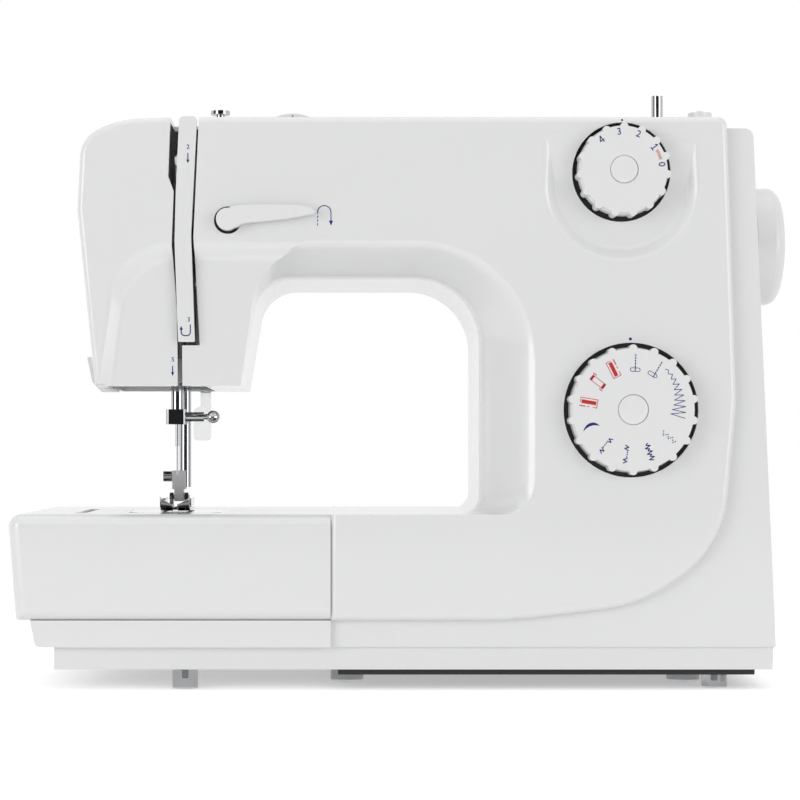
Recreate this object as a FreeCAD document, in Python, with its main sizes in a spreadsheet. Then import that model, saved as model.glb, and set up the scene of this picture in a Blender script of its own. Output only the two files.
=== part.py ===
"""A free-arm household sewing machine as a parametric FreeCAD document, in millimetres.

X runs along the arm towards the handwheel, Y away from the user and Z up. The origin is on
the table top, under the middle of the machine. Each sub-part is one object with its own Label.
"""

import FreeCAD
import Part
import Sketcher

import math
import os
import re

from FreeCAD import Placement, Rotation, Vector

# Driving dimensions: alias, value in millimetres or a count, and what it measures.
DIMENSIONS = [
    # Casing
    ("wall", 2.5, "thickness of every moulded casing wall"),
    ("front_y", -73.0, "front panel plane"),
    ("panel_step", 6.0, "height of the raised front panel over its border"),
    ("arm_back_y", 47.0, "back of the arm and the column"),
    ("bed_back_y", 82.0, "back of the bed"),
    ("split_y", -20.0, "seam between the front and the rear cover"),
    ("base_z", 9.7, "underside of the casing"),
    ("body_top", 276.5, "top of the arm"),
    ("bed_top", 85.0, "sewing surface"),
    ("bed_left", -35.25, "left end of the bed, where the free arm starts"),
    ("right_bottom", 180.45, "right side of the casing at its foot"),
    ("right_top", 168.75, "right side of the casing at its top"),
    ("top_corner", 4.5, "round of the top right corners"),
    ("panel_right", 160.15, "right edge of the raised front panel at its widest"),
    ("panel_right_top", 155.55, "right edge of the raised front panel at its top"),
    ("panel_waist", 140.0, "height where the front panel is widest"),
    ("waist_round", 100.0, "round of the panel's edge where it is widest"),
    ("border_drop", 5.0, "drop of the border's top right corner under the arm's top"),
    ("panel_bottom", 33.8, "lower edge of the raised front panel at the table"),
    ("hem_x", 52.0, "where the panel's lower edge starts to rise"),
    ("hem_round", 200.0, "round of the panel's lower edge where it starts to rise"),
    ("sweep_x", 113.45, "lower corner of the panel's sweep"),
    ("sweep_z", 41.0, "lower corner of the panel's sweep, height"),
    ("sweep_round", 74.0, "round of the sweep's lower corner"),
    ("flank_x", 153.85, "upper corner of the panel's sweep"),
    ("flank_z", 68.9, "upper corner of the panel's sweep, height"),
    ("flank_round", 55.0, "round of the sweep's upper corner"),
    ("panel_round", 3.0, "round of the panel's front edge"),
    ("plinth_top", 20.8, "top of the plinth"),
    ("plinth_inset", 2.0, "step of the plinth behind the border"),
    # Head and arch
    ("head_left", -157.35, "left side of the head"),
    ("head_shoulder", 232.0, "height where the head starts to taper"),
    ("crown_x", -137.75, "where the head's top starts to round over"),
    ("crown_drop", 1.2, "fall of the head's top towards its left end"),
    ("crown_round", 45.0, "upper round of the head's left end"),
    ("temple_x", -155.55, "corner of the head's left end"),
    ("temple_z", 266.4, "corner of the head's left end, height"),
    ("temple_round", 15.0, "lower round of the head's left end"),
    ("head_foot_left", -148.75, "left end of the head's underside"),
    ("head_foot_right", -78.75, "right end of the head's underside"),
    ("head_bottom", 147.0, "underside of the head"),
    ("head_recess", 4.0, "depth of the sunk lower head"),
    ("arch_top", 200.0, "underside of the arm"),
    ("arch_left", -69.75, "left end of the arm's underside"),
    ("arch_right", 37.75, "right side of the arch"),
    ("arch_bevel", 20.0, "depth of the bevel round the arch"),
    ("bevel_rise", 15.0, "height of the bevel over the arch"),
    ("bevel_reach", 24.0, "width of the bevel beside the arch"),
    ("arch_foot_round", 9.0, "lower right round of the arch"),
    ("arch_right_round", 32.0, "upper right round of the arch"),
    ("arch_left_round", 19.0, "upper left round of the arch"),
    ("bevel_foot_round", 16.0, "lower right round of the bevel"),
    ("bevel_right_round", 56.0, "upper right round of the bevel"),
    ("bevel_left_round", 30.0, "upper left round of the bevel"),
    ("seam_x", -108.75, "seam between the face cover and the other covers"),
    # Upper drive
    ("shaft_y", -13.0, "shafts and needle, front to back"),
    ("shaft_z", 219.0, "upper shaft"),
    ("shaft_radius", 6.0, "upper shaft"),
    ("running_gap", 0.05, "radial clearance of a running fit"),
    ("bush_wall", 3.0, "wall of a plain bearing bush"),
    ("bush_length", 14.0, "length of a bearing bush"),
    ("boss_wall", 3.0, "metal round a bush"),
    ("crank_left", -97.75, "left face of the crank disc"),
    ("crank_width", 8.0, "thickness of the crank disc"),
    ("crank_radius", 22.0, "crank disc"),
    ("needle_stroke", 31.0, "travel of the needle bar"),
    ("crank_pin_radius", 3.0, "crank pin"),
    ("rod_width", 5.0, "thickness of the connecting rod"),
    ("handwheel_left", 175.25, "inner face of the handwheel"),
    ("handwheel_right", 191.25, "outer face of the handwheel"),
    ("handwheel_radius", 29.5, "handwheel"),
    ("left_bush_x", -81.75, "left end of the upper left bush"),
    ("right_bush_x", 128.25, "left end of the upper right bush"),
    # Belts and motor
    ("belt_pulley_x", 154.25, "left face of the motor belt's pulleys"),
    ("pulley_width", 10.0, "width of the pulleys between their outer faces"),
    ("flange", 1.0, "thickness of a pulley flange"),
    ("flange_rise", 3.0, "height of a pulley flange over the belt"),
    ("big_pulley_radius", 32.0, "driven pulley on the upper shaft"),
    ("motor_pulley_radius", 8.0, "pulley on the motor"),
    ("belt_gap", 0.3, "clearance of a belt over its pulley"),
    ("belt_thick", 2.0, "thickness of a belt"),
    ("timing_pulley_x", 111.25, "left face of the timing pulleys"),
    ("timing_big_radius", 20.0, "timing pulley on the upper shaft"),
    ("timing_small_radius", 10.0, "timing pulley on the lower shaft"),
    ("motor_y", 30.0, "motor axis, front to back"),
    ("motor_z", 50.0, "motor axis, height"),
    ("motor_radius", 24.0, "motor housing"),
    ("motor_left", 77.25, "left end of the motor housing"),
    ("motor_right", 142.25, "right end of the motor housing"),
    ("motor_shaft_radius", 3.0, "motor shaft"),
    # Lower drive and bobbin
    ("lower_z", 64.0, "lower shaft"),
    ("lower_radius", 5.0, "lower shaft"),
    ("hook_left", -111.55, "open face of the hook"),
    ("hook_right", -99.75, "back of the hook"),
    ("hook_radius", 15.0, "hook"),
    ("hook_bore", 12.7, "inside of the hook"),
    ("bobbin_radius", 10.4, "bobbin flanges"),
    ("bobbin_left", -111.15, "open side of the bobbin"),
    ("bobbin_right", -104.15, "inner side of the bobbin"),
    ("case_clearance", 0.5, "clearance between hook, bobbin case and bobbin"),
    ("lower_left_bush_x", -95.75, "left end of the lower left bush"),
    ("lower_right_bush_x", 54.25, "left end of the lower right bush"),
    # Needle and presser
    ("needle_x", -113.25, "needle"),
    ("needle_bar_radius", 3.2, "needle bar"),
    ("needle_bar_top", 268.0, "top of the needle bar"),
    ("needle_seat", 130.0, "lower end of the needle bar"),
    ("needle_tip", 101.0, "needle point at the top of its stroke"),
    ("clamp_bottom", 129.0, "underside of the needle clamp"),
    ("clamp_height", 7.6, "height of the needle clamp"),
    ("presser_x", -110.25, "presser bar, along the arm"),
    ("presser_y", 2.0, "presser bar, front to back"),
    ("presser_radius", 3.0, "presser bar"),
    ("presser_top", 245.0, "top of the presser bar"),
    ("presser_foot_z", 97.0, "lower end of the presser bar"),
    ("foot_width", 14.8, "presser foot"),
    ("foot_gap", 0.6, "sole of the foot over the needle plate at rest"),
    ("lug_low_z", 150.0, "underside of the lower bar guide"),
    ("lug_high_z", 218.0, "underside of the upper bar guide"),
    ("lug_height", 12.0, "height of a bar guide"),
    ("lever_y", 24.0, "presser lever pivot, front to back"),
    ("lever_z", 150.0, "presser lever pivot, height"),
    ("lever_x", -107.25, "left side of the presser lever"),
    ("lever_width", 8.9, "width of the presser lever"),
    # Frame
    ("frame_y", 12.0, "front face of the cast frame"),
    ("frame_thick", 8.0, "thickness of the cast frame"),
    # Free arm and extension table
    ("arm_left", -159.75, "left end of the free arm"),
    ("arm_front_y", -52.0, "front of the free arm"),
    ("arm_rear_y", 26.0, "back of the free arm"),
    ("arm_bottom", 46.0, "underside of the free arm"),
    ("table_left", -191.25, "left end of the extension table"),
    ("table_gap", 0.5, "clearance of the table round the free arm"),
    ("table_round", 6.0, "upright corner rounds of the table"),
    ("door_thick", 2.0, "thickness of the bobbin door"),
    # Controls
    ("length_dial_x", 104.85, "stitch length dial"),
    ("length_dial_z", 249.8, "stitch length dial"),
    ("length_dial_radius", 22.5, "stitch length dial"),
    ("length_ridges", 15, "grip ridges of the stitch length dial"),
    ("pattern_dial_x", 109.15, "stitch pattern dial"),
    ("pattern_dial_z", 135.2, "stitch pattern dial"),
    ("pattern_dial_radius", 31.2, "stitch pattern dial"),
    ("pattern_ridges", 18, "grip ridges of the stitch pattern dial"),
    ("dial_front_y", -82.0, "front face of both dials"),
    ("dial_rim_gap", 1.2, "clearance of a dial in its round hole"),
    ("dial_ridge", 1.9, "radius of a grip ridge"),
    ("ridge_rise", 2.0, "height of a grip ridge over the dial's rim"),
    ("dial_shaft_radius", 4.0, "dial shafts"),
    ("dish_depth", 4.0, "depth of the dish round the stitch length dial"),
    ("dish_reach", 16.3, "width of the dish round the stitch length dial"),
    ("dish_drop", 5.5, "how far the dish's round end lies under the dial"),
    ("dish_top", 7.0, "distance of the dish's upper end from the arm's top"),
    ("cap_thick", 1.2, "thickness of a dial cap"),
    ("length_cap_radius", 6.8, "cap of the stitch length dial"),
    ("pattern_cap_radius", 7.4, "cap of the stitch pattern dial"),
    ("reverse_x", -84.75, "reverse lever pivot"),
    ("reverse_z", 226.5, "reverse lever pivot"),
    ("reverse_hub", 5.3, "radius of the reverse lever's round end"),
    ("reverse_hole", 6.6, "radius of the hole behind the reverse lever"),
    ("reverse_reach", 42.4, "length of the reverse lever from its pivot"),
    ("reverse_thick", 6.0, "thickness of the reverse lever"),
    ("tension_x", -54.05, "tension wheel"),
    ("tension_y", -47.0, "tension wheel, front to back"),
    ("tension_radius", 21.0, "tension wheel"),
    ("tension_rise", 4.9, "height of the tension wheel over the arm"),
    ("tension_width", 6.0, "width of the tension wheel"),
    ("tension_play", 1.0, "room round the tension wheel in its slot"),
    # Top of the arm
    ("winder_x", 130.55, "bobbin winder spindle"),
    ("winder_y", -10.0, "bobbin winder spindle, front to back"),
    ("winder_rise", 19.4, "height of the bobbin winder spindle over the arm"),
    ("winder_radius", 2.9, "bobbin winder spindle"),
    ("winder_shift", 6.0, "sideways travel of the bobbin winder"),
    ("stop_x", 152.25, "bobbin winder stop"),
    ("stop_radius", 6.0, "bobbin winder stop"),
    ("stop_height", 10.6, "height of the bobbin winder stop"),
    ("guide_x", -90.25, "upper thread guide"),
    ("guide_y", -35.0, "upper thread guide, front to back"),
    ("guide_rise", 6.1, "height of the upper thread guide's disc over the arm"),
    ("spool_y", 31.0, "spool pins, front to back"),
    ("spool_first_x", 16.25, "left spool pin"),
    ("spool_pitch", 48.0, "distance between the spool pins"),
    ("spool_radius", 3.0, "spool pins"),
    ("spool_length", 54.0, "length of a spool pin"),
    # Feet, lamp, socket and switch
    ("foot_radius", 6.3, "feet"),
    ("plate_thick", 3.0, "base plate"),
    ("socket_y", 2.0, "front of the power socket"),
    ("socket_width", 26.0, "width of the power socket"),
    ("socket_bottom", 38.0, "underside of the power socket"),
    ("socket_height", 24.0, "height of the power socket"),
    ("switch_y", 40.0, "front of the power switch"),
    ("switch_width", 12.0, "width of the power switch"),
    ("switch_height", 20.0, "height of the power switch"),
    ("switch_play", 0.4, "clearance of the power switch in its hole"),
]

doc = FreeCAD.newDocument("SewingMachine")
sheet = doc.addObject("Spreadsheet::Sheet", "Params")
for row, (alias, value, meaning) in enumerate(DIMENSIONS, start=1):
    sheet.set(f"A{row}", meaning)
    sheet.set(f"B{row}", str(value))
    sheet.setAlias(f"B{row}", alias)
doc.recompute()
ALIASES = {alias for alias, _, _ in DIMENSIONS}
subparts = []


def bound(text):
    """The expression for a size written with plain alias names."""
    return re.sub(r"[a-z_]+", lambda word: f"Params.{word[0]}" if word[0] in ALIASES else word[0],
                  str(text))


def size(text):
    """The present value of a size written with plain alias names."""
    return float(sheet.evalExpression(bound(text)))


TURN = {
    "X": Rotation(Vector(0, 1, 0), 90),
    "Y": Rotation(Vector(1, 0, 0), -90),
    "Z": Rotation(),
}


def subpart(item, label):
    """Marks an object as a finished sub-part under its own name."""
    item.Label = label
    subparts.append(item)
    return item


def place(item, at, axis="Z"):
    """Puts an object at three bound coordinates, with its own Z along the given axis."""
    item.Placement = Placement(Vector(*[size(c) for c in at]), TURN[axis])
    for letter, coordinate in zip("xyz", at):
        item.setExpression(f"Placement.Base.{letter}", bound(coordinate))
    return item


def cylinder(radius, length, at, axis="Z"):
    item = doc.addObject("Part::Cylinder", "Cylinder")
    item.setExpression("Radius", bound(radius))
    item.setExpression("Height", bound(length))
    return place(item, at, axis)


def cone(radius_start, radius_end, length, at, axis="Z"):
    item = doc.addObject("Part::Cone", "Cone")
    item.setExpression("Radius1", bound(radius_start))
    item.setExpression("Radius2", bound(radius_end))
    item.setExpression("Height", bound(length))
    return place(item, at, axis)


def block(low, high):
    """A box from its lowest to its highest corner."""
    item = doc.addObject("Part::Box", "Block")
    for side, start, end in zip(("Length", "Width", "Height"), low, high):
        item.setExpression(side, bound(f"({end}) - ({start})"))
    return place(item, low)


def fuse(*items):
    item = doc.addObject("Part::MultiFuse", "Joined")
    item.Shapes = list(items)
    return item


def cut(base, *tools):
    item = doc.addObject("Part::Cut", "Trimmed")
    item.Base = base
    item.Tool = tools[0] if len(tools) == 1 else fuse(*tools)
    return item


def group(items):
    """Several loose solids as one object."""
    item = doc.addObject("Part::Compound", "Group")
    item.Links = list(items)
    return item


def rounded(item, radius, chosen):
    """A Part::Fillet of the edges that the test chooses."""
    doc.recompute()
    edges = [n for n, edge in enumerate(item.Shape.Edges, start=1) if chosen(edge)]
    made = doc.addObject("Part::Fillet", "Rounded")
    made.Base = item
    made.Edges = [(n, size(radius), size(radius)) for n in edges]
    return made


def runs_along(axis):
    """A test for straight edges along one axis."""
    wanted = {"X": Vector(1, 0, 0), "Y": Vector(0, 1, 0), "Z": Vector(0, 0, 1)}[axis]

    def chosen(edge):
        straight = edge.Curve.TypeId == "Part::GeomLine"
        return straight and abs(edge.tangentAt(edge.FirstParameter).dot(wanted)) > 0.99

    return chosen


def feature(shape):
    item = doc.addObject("Part::Feature", "Shape")
    item.Shape = shape
    return item


def sketch_on(body, role, offset="0"):
    """An empty sketch on one of a body's own planes, moved along that plane's normal."""
    sketch = body.newObject("Sketcher::SketchObject", "Outline")
    plane = next(f for f in body.Origin.OriginFeatures if f.Role == role)
    sketch.AttachmentSupport = [(plane, "")]
    sketch.MapMode = "FlatFace"
    sketch.AttachmentOffset = Placement(Vector(0, 0, size(offset)), Rotation())
    sketch.setExpression("AttachmentOffset.Base.z", bound(offset))
    return sketch


def draw_polygon(sketch, corners):
    """A closed outline whose corners are bound to sheet cells."""
    points = [Vector(size(u), size(v), 0) for u, v in corners]
    for start, end in zip(points, points[1:] + points[:1]):
        sketch.addGeometry(Part.LineSegment(start, end), False)
    for index, (u, v) in enumerate(corners):
        sketch.addConstraint(Sketcher.Constraint("Coincident", index, 2, (index + 1) % len(corners), 1))
        for kind, coordinate, value in (("DistanceX", u, points[index].x),
                                        ("DistanceY", v, points[index].y)):
            number = sketch.addConstraint(Sketcher.Constraint(kind, -1, 1, index, 1, value))
            sketch.renameConstraint(number, f"{kind}{index}")
            sketch.setExpression(f"Constraints.{kind}{index}", bound(coordinate))


def draw_circle(sketch, radius, centre=("0", "0")):
    u, v = (size(c) for c in centre)
    index = sketch.addGeometry(Part.Circle(Vector(u, v, 0), Vector(0, 0, 1), size(radius)), False)
    for kind, coordinate, value in (("DistanceX", centre[0], u), ("DistanceY", centre[1], v)):
        number = sketch.addConstraint(Sketcher.Constraint(kind, -1, 1, index, 3, value))
        sketch.renameConstraint(number, f"{kind}{index}")
        sketch.setExpression(f"Constraints.{kind}{index}", bound(coordinate))
    number = sketch.addConstraint(Sketcher.Constraint("Radius", index, size(radius)))
    sketch.renameConstraint(number, f"Radius{index}")
    sketch.setExpression(f"Constraints.Radius{index}", bound(radius))


def new_body(at):
    body = doc.addObject("PartDesign::Body", "Body")
    return place(body, at)


def pad(body, sketch, length, backwards=False):
    item = body.newObject("PartDesign::Pad", "Pad")
    item.Profile = sketch
    item.setExpression("Length", bound(length))
    item.Reversed = backwards
    doc.recompute()
    return item


def pocket(body, sketch, length, backwards=False):
    item = body.newObject("PartDesign::Pocket", "Pocket")
    item.Profile = sketch
    item.setExpression("Length", bound(length))
    item.Reversed = backwards
    doc.recompute()
    return item


def turned(at, corners):
    """A body turned about its own X axis from a closed outline of (along, radius) corners."""
    body = new_body(at)
    sketch = sketch_on(body, "XZ_Plane")
    draw_polygon(sketch, corners)
    axis = next(f for f in body.Origin.OriginFeatures if f.Role == "X_Axis")
    item = body.newObject("PartDesign::Revolution", "Turned")
    item.Profile = sketch
    item.ReferenceAxis = (axis, [""])
    item.Angle = 360
    doc.recompute()
    return body


def plate_xz(corners, front, depth):
    """A body padded from an outline in X and Z, from its front towards the back."""
    body = new_body(("0", "0", "0"))
    sketch = sketch_on(body, "XZ_Plane", f"-({front})")
    draw_polygon(sketch, corners)
    pad(body, sketch, depth, backwards=True)
    return body


def plate_yz(corners, left, width):
    """A body padded from an outline in Y and Z, from its left side towards the right."""
    body = new_body(("0", "0", "0"))
    sketch = sketch_on(body, "YZ_Plane", left)
    draw_polygon(sketch, corners)
    pad(body, sketch, width)
    return body


# Casing outlines, drawn in X and Z


def loop(corners, y):
    """A closed wire at one depth through (x, z, round) corners."""
    points = [Vector(x, y, z) for x, z, _ in corners]
    edges = []
    starts, ends = [], []
    for index, (_, _, radius) in enumerate(corners):
        here = points[index]
        before = (points[index - 1] - here).normalize()
        after = (points[(index + 1) % len(points)] - here).normalize()
        half = before.getAngle(after) / 2
        reach = radius / math.tan(half)
        starts.append(here + before * reach)
        ends.append(here + after * reach)
    for index, (_, _, radius) in enumerate(corners):
        if radius:
            here = points[index]
            inward = ((starts[index] + ends[index]) * 0.5 - here).normalize()
            reach = starts[index].distanceToPoint(here)
            middle = here + inward * ((reach ** 2 + radius ** 2) ** 0.5 - radius)
            edges.append(Part.Arc(starts[index], middle, ends[index]).toShape())
        edges.append(Part.LineSegment(ends[index], starts[(index + 1) % len(points)]).toShape())
    return Part.Wire(edges)


def prism(corners, start, end):
    return Part.Face(loop(corners, start)).extrude(Vector(0, end - start, 0))


def silhouette(inset):
    """The whole casing seen from the front, with the arch still closed."""
    return [
        (size("bed_left") + inset, size("base_z") + inset, 0),
        (size("right_bottom") - inset, size("base_z") + inset, 0),
        (size("right_top") - inset, size("body_top") - inset, size("top_corner") - inset),
        (size("seam_x"), size("body_top") - inset, 0),
        (size("crown_x") + 0.2 * inset, size("body_top - crown_drop") - inset,
         size("crown_round") - inset),
        (size("temple_x") + 0.9 * inset, size("temple_z") - 0.6 * inset, size("temple_round") - inset),
        (size("head_left") + inset, size("head_shoulder"), 0),
        (size("head_foot_left") + inset, size("head_bottom") + inset, 0),
        (size("bed_left") + inset, size("head_bottom") + inset, 0),
    ]


def panel(inset):
    """The raised front panel."""
    right_side = [
        (size("bed_left") + inset, size("panel_bottom") + inset, 0),
        (size("hem_x"), size("panel_bottom") + inset, size("hem_round") - inset),
        (size("sweep_x") - 0.3 * inset, size("sweep_z") + inset, size("sweep_round") - inset),
        (size("flank_x") - 0.9 * inset, size("flank_z") + 0.5 * inset, size("flank_round") - inset),
        (size("panel_right") - inset, size("panel_waist"), size("waist_round") - inset),
        (size("panel_right_top") - inset, size("body_top") - inset, size("top_corner") - inset),
    ]
    return right_side + silhouette(inset)[3:]


def low_border(inset):
    """The casing's outline in front, where the border's top right corner lies lower."""
    corners = silhouette(inset)
    top = size("body_top - border_drop") - inset
    step = size("panel_right_top - top_corner") - inset
    right = size("right_top + (right_bottom - right_top) * border_drop / (body_top - base_z)") - inset
    corners[2:3] = [(right, top, size("top_corner") - inset), (step, top, 0),
                    (step, size("body_top") - inset, 0)]
    return corners


BEYOND = 60.0
# Profile of the bevel from the front rim to the throat: share of its width and of its depth
BEVEL_STEPS = [(-0.14, 0.0), (-0.02, 0.03), (0.12, 0.13), (0.86, 0.87), (0.95, 1.0), (1.0, 1.2)]
# Profile of a soft step in the front: share of its width and of its depth
SOFT_STEPS = [(0.0, 0.0), (0.18, 0.05), (0.35, 0.2), (0.65, 0.8), (0.82, 0.95), (1.0, 1.0)]


def arch(grow, share):
    """The open space under the arm, which runs on past the head; share goes from rim to throat."""
    left_end = size("head_left") - BEYOND
    rise, reach = size("bevel_rise") * (1 - share), size("bevel_reach") * (1 - share)

    def turn(name):
        return size(f"bevel_{name}_round") * (1 - share) + size(f"arch_{name}_round") * share + grow

    return [
        (left_end, size("bed_top") - grow, 0),
        (size("arch_right") + reach + grow, size("bed_top") - grow, turn("foot")),
        (size("arch_right") + reach + grow, size("arch_top") + rise + grow, turn("right")),
        (size("arch_left") - grow, size("arch_top") + rise + grow, turn("left")),
        (size("head_foot_right") - grow, size("head_bottom") + grow, 0),
        (left_end, size("head_bottom") + grow, 0),
    ]


def arch_space(grow):
    """The arch with its bevelled front rim."""
    front, depth = size("front_y"), size("arch_bevel")
    rings = [loop(arch(grow, share), front + depth * deep) for share, deep in BEVEL_STEPS]
    bevel = Part.makeLoft(rings, True, True)
    ahead = prism(arch(grow, BEVEL_STEPS[0][0]), front - BEYOND, front)
    behind = prism(arch(grow, 1), front + depth * BEVEL_STEPS[-1][1], size("bed_back_y") + BEYOND)
    return ahead.fuse([bevel, behind])


def sunk_head(grow):
    """The shallow recess of the lower head, with a sloping upper edge."""
    front, depth = size("front_y"), size("head_recess")
    slope = 2.4 * depth

    def outline(inset):
        return [
            (size("head_foot_left") - 4 - grow + inset, size("head_bottom") - BEYOND / 2, 0),
            (size("arch_left") + BEYOND / 2, size("head_bottom") - BEYOND / 2, 0),
            (size("arch_left") + BEYOND / 2, size("arch_top") + size("bevel_rise") + 1.5 + grow - inset,
             0),
            (size("head_left") + 17 - grow + inset,
             size("arch_top") + size("bevel_rise") + 1.5 + grow - inset, 30),
        ]

    rings = [loop(outline(slope * share), front + depth * deep + grow) for share, deep in SOFT_STEPS]
    return Part.makeLoft(rings, True, True).fuse(prism(outline(0), front - BEYOND, front + grow))


def dial_dish(grow):
    """The U-shaped dish round the stitch length dial, which runs out towards the arm's top."""
    front, depth = size("front_y") + grow, size("dish_depth")
    middle_x, middle_z = size("length_dial_x"), size("length_dial_z")
    wide = size("length_dial_radius + dish_reach")
    above = size("body_top") + BEYOND

    def outline(half):
        low = middle_z - half - size("dish_drop")
        return [
            (middle_x - half, above, 0),
            (middle_x + half, above, 0),
            (middle_x + half, low, half * 0.98),
            (middle_x - half, low, half * 0.98),
        ]

    slope = 0.6 * size("dish_reach")
    rings = [loop(outline(wide - slope * share), front + depth * deep) for share, deep in SOFT_STEPS]
    bowl = Part.makeLoft(rings, True, True).fuse(prism(outline(wide), front - BEYOND, front))
    side = middle_x - 2 * wide
    floor = [
        Vector(side, front - BEYOND, middle_z - 2 * wide),
        Vector(side, front + depth, middle_z - 2 * wide),
        Vector(side, front + depth, middle_z - size("length_dial_radius")),
        Vector(side, front + 0.9 * depth, middle_z - size("length_dial_radius") / 4),
        Vector(side, front, size("body_top - dish_top")),
        Vector(side, front, above),
        Vector(side, front - BEYOND, above),
    ]
    ramp = Part.Face(Part.makePolygon(floor + floor[:1])).extrude(Vector(4 * wide, 0, 0))
    return bowl.common(ramp)


def casing(inset):
    """One closed block of the casing: its outside, or its hollow when inset by the wall."""
    border_y = size("front_y + panel_step") + inset
    step_y = size("split_y") + inset
    border = prism(low_border(inset), border_y, step_y)
    shelf = border.fuse(prism(silhouette(inset), step_y, size("arm_back_y") - inset))
    right_side = "right_bottom - (right_bottom - right_top) * (bed_top - base_z) / (body_top - base_z)"
    bed = silhouette(inset)[:2] + [
        (size(right_side) - inset, size("bed_top") - inset, 0),
        (size("bed_left") + inset, size("bed_top") - inset, 0),
    ]
    bed_block = prism(bed, border_y, size("bed_back_y") - inset)
    front_panel = prism(panel(inset), size("front_y") + inset, size("split_y"))
    if not inset:
        rim = [e for e in front_panel.Edges if e.BoundBox.YMax < size("front_y") + 0.01]
        front_panel = front_panel.makeFillet(size("panel_round"), rim)
    closed = shelf.fuse([bed_block, front_panel])
    return closed.cut(arch_space(inset)).cut(sunk_head(inset)).cut(dial_dish(inset))


def slab(low, high):
    """A plain box between two corners, for cutting the casing."""
    return Part.makeBox(*[b - a for a, b in zip(low, high)], Vector(*low))


def thread_slots():
    """The gap in the front and top between the face cover and the front cover."""
    left = [("seam_x - 3.7", "body_top + 20"), ("seam_x - 3.7", "body_top - 4"),
            ("seam_x - 4.6", "body_top - 29"), ("seam_x - 2.0", "body_top - 36"),
            ("seam_x - 3.0", "body_top - 62"), ("seam_x - 0.6", "head_bottom + 35"),
            ("seam_x - 0.3", "head_bottom - 5")]
    right = [("seam_x + 2.0", "head_bottom - 5"), ("seam_x + 1.8", "head_bottom + 19.5"),
             ("seam_x + 10.3", "head_bottom + 19.5"), ("seam_x + 7.5", "body_top - 58"),
             ("seam_x + 10.0", "body_top - 4"), ("seam_x + 10.0", "body_top + 20")]
    corners = [(size(x), size(z), 0) for x, z in left + right]
    return prism(corners, size("front_y") - 5, size("front_y") + 34)


def casing_openings():
    """Holes through the casing for shafts, dials, levers, pins, the lamp and the free arm."""
    front, top, wall = size("front_y"), size("body_top"), size("wall")
    holes = []
    for name in ("length", "pattern"):
        radius = size(f"{name}_dial_radius + dial_rim_gap")
        centre = Vector(size(f"{name}_dial_x"), front - 5, size(f"{name}_dial_z"))
        holes.append(Part.makeCylinder(radius, 25, centre, Vector(0, 1, 0)))
    pivot = Vector(size("reverse_x"), front - 5, size("reverse_z"))
    holes.append(Part.makeCylinder(size("reverse_hole"), 20, pivot, Vector(0, 1, 0)))
    axle = Vector(size("right_top") - 20, size("shaft_y"), size("shaft_z"))
    holes.append(Part.makeCylinder(size("shaft_radius") + 3, 40, axle, Vector(1, 0, 0)))
    play = size("tension_play")
    wheel_drop = size("tension_radius") - size("tension_rise") - wall
    half_slot = math.sqrt(size("tension_radius") ** 2 - max(wheel_drop, 0) ** 2) + play
    slot_y = size("tension_width") / 2 + play
    holes.append(slab((size("tension_x") - half_slot, size("tension_y") - slot_y, top - 3 * wall),
                      (size("tension_x") + half_slot, size("tension_y") + slot_y, top + wall)))
    play = size("winder_radius") + 1
    holes.append(slab((size("winder_x") - play, size("winder_y") - play, top - 3 * wall),
                      (size("winder_x + winder_shift") + play, size("winder_y") + play, top + wall)))
    for index in range(2):
        pin = Vector(size("spool_first_x") + index * size("spool_pitch"), size("spool_y"), top - 3 * wall)
        holes.append(Part.makeCylinder(size("spool_radius") + 0.3, 4 * wall, pin))
    holes.append(slab((size("head_foot_left") + 4, front + 15, size("head_bottom") - 5),
                      (size("lever_x + lever_width") + 2, size("arm_back_y") - 13,
                       size("head_bottom") + 2 * wall)))
    holes.append(slab((size("bed_left") - 5, size("arm_front_y") + wall, size("arm_bottom") + wall),
                      (size("bed_left") + 2 * wall, size("arm_rear_y") - wall, size("bed_top") - wall)))
    holes.append(slab((size("right_bottom") - 20, size("socket_y"), size("socket_bottom")),
                      (size("right_bottom") + 5, size("socket_y + socket_width"),
                       size("socket_bottom + socket_height"))))
    play = size("switch_play")
    middle = size("socket_bottom + socket_height / 2")
    reach = size("switch_height") / 2 + 1.6
    holes.append(slab((size("right_bottom") - 20, size("switch_y") - play, middle - reach),
                      (size("right_bottom") + 5, size("switch_y + switch_width") + play, middle + reach)))
    return holes


def plinth_cut():
    """The step that sets the plinth back behind the border, front and rear."""
    low, inset = size("base_z") - 5, size("plinth_inset")
    border = size("front_y + panel_step")
    front = slab((size("table_left"), border - 5, low),
                 (size("right_bottom") + 5, border + inset, size("plinth_top")))
    right, top = size("right_bottom"), size("plinth_top")
    end = [(right - 1.2, top, 0), (right + 5, top, 0), (right + 5, low, 0), (right - 2.0, low, 0)]
    return front.fuse(prism(end, size("front_y"), size("bed_back_y") + 5))


def make_casing():
    shell = casing(0).cut(plinth_cut()).cut(casing(size("wall"))).cut(casing_openings())
    seam, split = size("seam_x"), size("split_y")
    low = Vector(size("table_left") - 9, size("dial_front_y") - 9, -9)
    span = Vector(500, 300, 400)
    left = slab(low, (seam, low.y + span.y, low.z + span.z))
    right_front = slab((seam, low.y, low.z), (low.x + span.x, split, low.z + span.z))
    right_rear = slab((seam, split, low.z), (low.x + span.x, low.y + span.y, low.z + span.z))
    gap = thread_slots()
    subpart(feature(shell.common(left).cut(gap)), "face_cover")
    subpart(feature(shell.common(right_front).cut(gap)), "front_cover")
    subpart(feature(shell.common(right_rear).cut(gap)), "rear_cover")


make_casing()

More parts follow.
